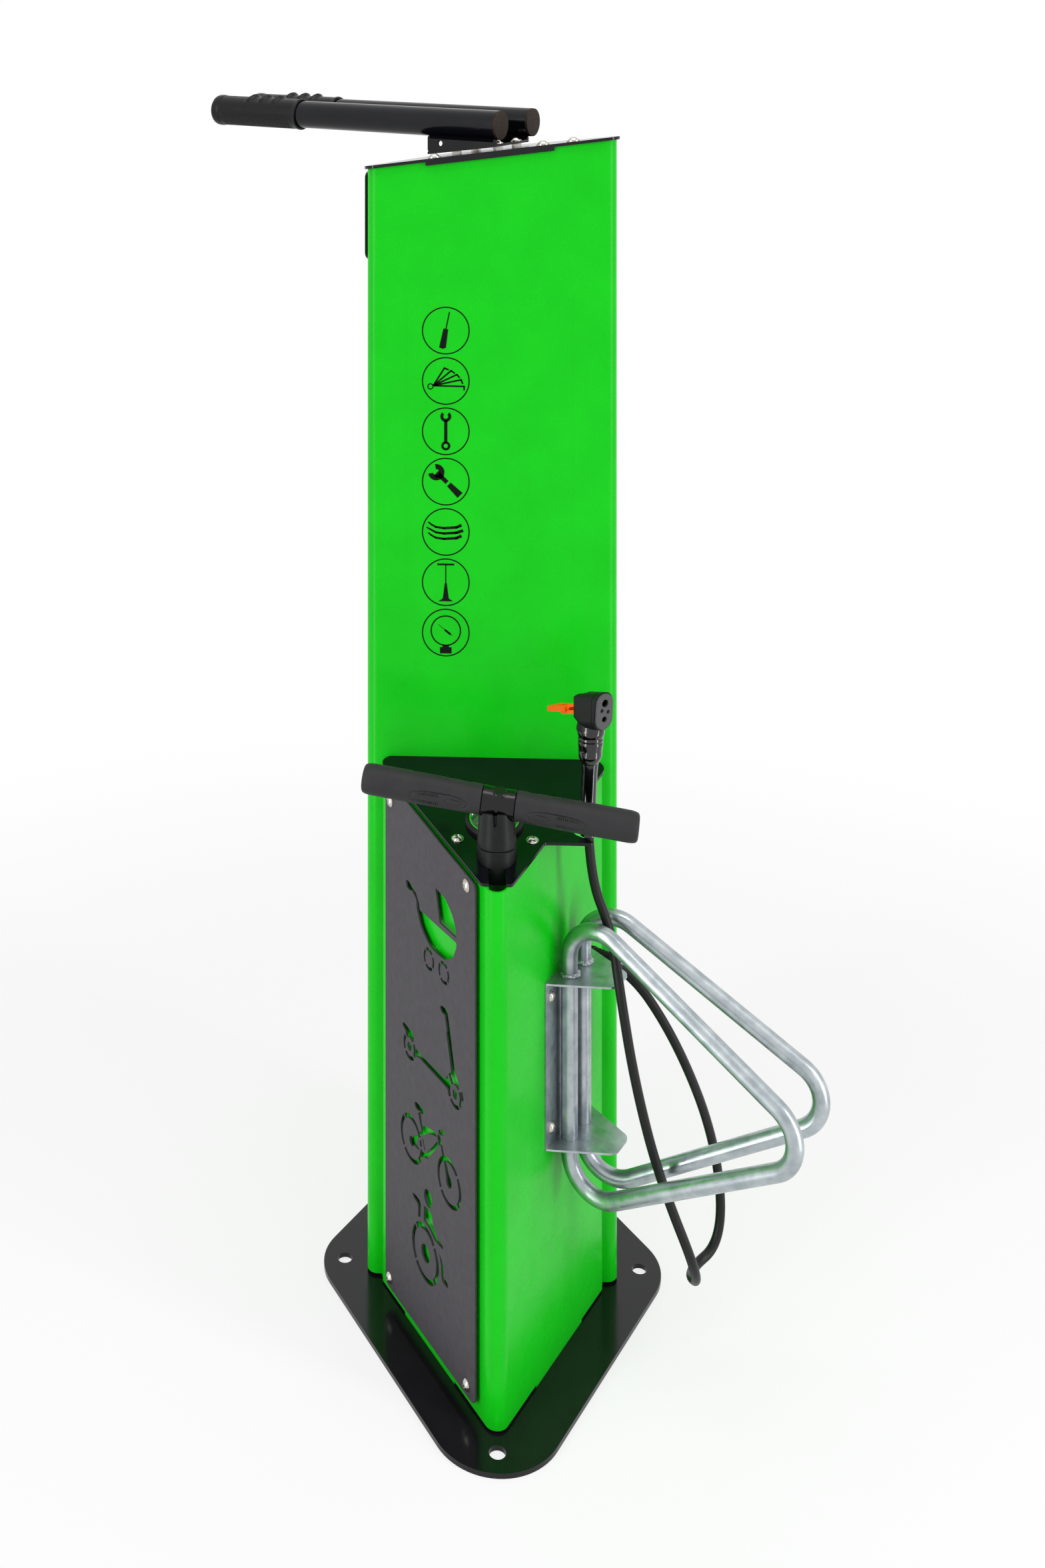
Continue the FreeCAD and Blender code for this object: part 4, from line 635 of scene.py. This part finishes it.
# Floor pump
z = iconZ[5]
addStroke(iconBm, [(ix - 9.5, z + 20.0), (ix + 9.5, z + 20.0)], 2.2)
addStroke(iconBm, [(ix, z + 20.0), (ix, z - 2.0)], 1.4)
addPatch(iconBm, [(ix - 1.2, z - 1.0), (ix - 3.4, z - 18.0), (ix + 3.4, z - 18.0), (ix + 1.2, z - 1.0)])
addPatch(iconBm, [(ix - 3.4, z - 18.0), (ix - 8.4, z - 21.4), (ix + 8.4, z - 21.4), (ix + 3.4, z - 18.0)])
# Pressure gauge
z = iconZ[6]
addRing(iconBm, ix, z + 2.2, 17.2, 15.6, steps=64)
addStroke(iconBm, [(ix - 8.2, z + 9.0), (ix + 7.4, z - 3.6)], 0.7)
addStroke(iconBm, [(ix - 1.2, z + 3.2), (ix + 5.4, z - 2.0)], 2.4)
addPatch(iconBm, [(ix - 3.6, z - 13.6), (ix - 3.6, z - 16.2), (ix + 3.6, z - 16.2), (ix + 3.6, z - 13.6)])
addPatch(iconBm, [(ix - 6.6, z - 16.2), (ix - 6.6, z - 23.4), (ix + 6.6, z - 23.4), (ix + 6.6, z - 16.2)])
bmesh.ops.remove_doubles(iconBm, verts=iconBm.verts, dist=0.002)
for face in iconBm.faces:
    if face.normal.y > 0:
        face.normal_flip()
finishPiece("labelIcons", iconBm, [blackInk], "station")
print("label icons made")

# Marks on the dial: ticks and numbers round three quarters of a turn, drawn about the gauge's axis
gaugeSettings = {"y": -109.5, "z": 561.9461, "slope": 0.2562, "dialLevel": -5.36, "firstAngle": 225, "sweep": 270,
                 "ticks": 61, "longEvery": 5, "longFrom": 18.6, "shortFrom": 20.0, "ticksTo": 21.6,
                 "longHalf": 0.28, "shortHalf": 0.14,
                 "numbers": (0, 2, 4, 6, 8, 10, 12), "numberRadius": 15.6, "numberSize": 4.6}
dialLevel = Vector((0, 0, gaugeSettings["dialLevel"]))
gaugeNormal = Vector((0, -gaugeSettings["slope"], 1)).normalized()
gaugeSide = Vector((1, 0, 0))
gaugeBack = gaugeNormal.cross(gaugeSide)
gaugePlace = (Matrix.Translation((0, gaugeSettings["y"], gaugeSettings["z"]))
              @ Matrix((gaugeSide, gaugeBack, gaugeNormal)).transposed().to_4x4())


def dialRay(step, steps):
    angle = radians(gaugeSettings["firstAngle"] - gaugeSettings["sweep"] * step / steps)
    return Vector((cos(angle), sin(angle), 0))


dialBm = bmesh.new()
for k in range(gaugeSettings["ticks"]):
    size = "short" if k % gaugeSettings["longEvery"] else "long"
    inner, outer = gaugeSettings[size + "From"], gaugeSettings["ticksTo"]
    ray = dialRay(k, gaugeSettings["ticks"] - 1)
    across = Vector((-ray.y, ray.x, 0)) * gaugeSettings[size + "Half"]
    dialBm.faces.new([dialBm.verts.new(p + dialLevel) for p in
                      (ray * inner - across, ray * outer - across, ray * outer + across, ray * inner + across)])
for i, number in enumerate(gaugeSettings["numbers"]):
    letters = bpy.data.curves.new("spareNumber", "FONT")
    letters.body = str(number)
    letters.size = gaugeSettings["numberSize"]
    letters.align_x = "CENTER"
    letters.align_y = "CENTER"
    holder = bpy.data.objects.new("spareNumber", letters)
    flat = bpy.data.meshes.new_from_object(holder)
    ray = dialRay(i, len(gaugeSettings["numbers"]) - 1)
    flat.transform(Matrix.Translation(ray * gaugeSettings["numberRadius"] + dialLevel))
    dialBm.from_mesh(flat)
    bpy.data.meshes.remove(flat)
    bpy.data.objects.remove(holder)
    bpy.data.curves.remove(letters)
for face in dialBm.faces:
    if face.normal.z < 0:
        face.normal_flip()
finishPiece("dialMarks", dialBm, [blackInk], "station", place=gaugePlace)
print("dial marks made")

# Welds: lumpy beads round the legs of the wheel loops, above and below the bracket
weldSettings = {"off": 123.3, "along": (-57.6, -24.8), "levels": ((407.6, 1), (236.0, -1)), "lump": 1.1,
                "ripple": 0.35, "ripples": 22}
weldBm = bmesh.new()
for along in weldSettings["along"]:
    for level, way in weldSettings["levels"]:
        leg = besideFace(along, -weldSettings["off"], level)
        bead = spun(smoothLine([(8.4, 0.0), (11.3, 0.0), (11.4, 0.8), (10.6, 1.9), (9.4, 2.9), (8.4, 3.2)], 0.5), 96)
        for v in bead.verts:
            angle = atan2(v.co.y, v.co.x)
            lump = noise.noise(Vector((cos(angle) * 2.2 + leg.x, sin(angle) * 2.2, v.co.z * 0.4 + level)))
            ripple = 0.5 + 0.5 * cos(angle * weldSettings["ripples"] + 3 * lump)
            radius = radiusOf(v)
            if radius > 8.8:
                v.co.xy *= 1 + (weldSettings["lump"] * lump + weldSettings["ripple"] * ripple) / radius
                v.co.z *= 1 + 0.5 * lump
        if way < 0:
            bmesh.ops.scale(bead, vec=(1, 1, -1), verts=bead.verts)
        bmesh.ops.translate(bead, vec=leg, verts=bead.verts)
        bmesh.ops.recalc_face_normals(bead, faces=bead.faces)
        mergeInto(weldBm, bead)
finishPiece("loopWelds", weldBm, [zincWeld], "station", ("wheel_loop_welds",), sharp=60)
print("welds made")


# Floor, light and view: pale and soft
def seenShare(tree):
    # 1 where the surface is looked at, directly, mirrored or through glass, and 0 where it only gives light
    path = addNode(tree, "ShaderNodeLightPath")
    mirrored = addNode(tree, "ShaderNodeMath", {"operation": "MAXIMUM"},
                       {0: path.outputs["Is Camera Ray"], 1: path.outputs["Is Glossy Ray"]})
    seen = addNode(tree, "ShaderNodeMath", {"operation": "MAXIMUM"},
                   {0: mirrored.outputs[0], 1: path.outputs["Is Transmission Ray"]})
    return seen.outputs[0]


# The floor glows white far out and shows its soft shadows near the plate
floorSettings = {"colour": "F2F2F2", "size": 12.0, "below": 0.0005, "glowNear": 0.74, "near": 0.7, "far": 1.9}
floorMaterial = newMaterial("paleFloor", floorSettings["colour"], 0.9)
floorTree = floorMaterial.node_tree
floorPlace = addNode(floorTree, "ShaderNodeTexCoord")
floorReach = addNode(floorTree, "ShaderNodeVectorMath", {"operation": "LENGTH"}, {0: floorPlace.outputs["Object"]})
floorFade = addNode(floorTree, "ShaderNodeMapRange",
                    {"interpolation_type": "SMOOTHSTEP", "From Min": floorSettings["near"],
                     "From Max": floorSettings["far"], "To Min": floorSettings["glowNear"], "To Max": 1.0},
                    {"Value": floorReach.outputs["Value"]})
glowShare = addNode(floorTree, "ShaderNodeMath", {"operation": "MULTIPLY"},
                    {0: seenShare(floorTree), 1: floorFade.outputs["Result"]})
glow = addNode(floorTree, "ShaderNodeEmission", {"Color": (1, 1, 1, 1), "Strength": 1.0})
mixed = addNode(floorTree, "ShaderNodeMixShader", None,
                {0: glowShare.outputs[0], 1: floorTree.nodes["Principled BSDF"].outputs[0], 2: glow.outputs[0]})
floorTree.links.new(mixed.outputs[0], floorTree.nodes["Material Output"].inputs["Surface"])
floorMesh = bpy.data.meshes.new("floor")
floorBm = bmesh.new()
bmesh.ops.create_grid(floorBm, x_segments=1, y_segments=1, size=floorSettings["size"])
bmesh.ops.translate(floorBm, vec=(0, 0, -floorSettings["below"]), verts=floorBm.verts)
floorBm.to_mesh(floorMesh)
floorBm.free()
floorMesh.materials.append(floorMaterial)
floor = bpy.data.objects.new("floor", floorMesh)
bpy.context.collection.objects.link(floor)

# White all round, dimmer as a light than as a background
worldSettings = {"fill": 0.56}
world = bpy.data.worlds.new("studio")
bpy.context.scene.world = world
world.use_nodes = True
worldTree = world.node_tree
worldLevel = addNode(worldTree, "ShaderNodeMapRange", {"To Min": worldSettings["fill"], "To Max": 1.0},
                     {"Value": seenShare(worldTree)})
background = worldTree.nodes["Background"]
background.inputs["Color"].default_value = (1, 1, 1, 1)
worldTree.links.new(worldLevel.outputs["Result"], background.inputs["Strength"])

# Soft boxes left, right and above, and a narrow strip low on either side
lampTarget = Vector((0, 0, 0.7))
lampSettings = [
    {"name": "leftBox", "place": (-2.2, -1.9, 1.5), "size": (0.5, 2.2), "power": 28},
    {"name": "rightBox", "place": (2.3, -1.3, 1.5), "size": (0.5, 2.2), "power": 26},
    {"name": "topBox", "place": (0.0, -0.6, 3.2), "size": (2.0, 0.7), "power": 20},
    {"name": "leftStrip", "place": (-1.0, -1.0, 0.2), "size": (0.12, 0.7), "power": 3.5},
    {"name": "rightStrip", "place": (1.15, -0.75, 0.2), "size": (0.12, 0.7), "power": 3.5}]
for lamp in lampSettings:
    light = bpy.data.lights.new(lamp["name"], "AREA")
    light.shape = "RECTANGLE"
    light.size, light.size_y = lamp["size"]
    light.energy = lamp["power"]
    holder = bpy.data.objects.new(lamp["name"], light)
    holder.location = lamp["place"]
    holder.rotation_euler = (lampTarget - Vector(lamp["place"])).to_track_quat("-Z", "Y").to_euler()
    bpy.context.collection.objects.link(holder)
bpy.context.scene.view_settings.view_transform = "Standard"
print("stage lit")
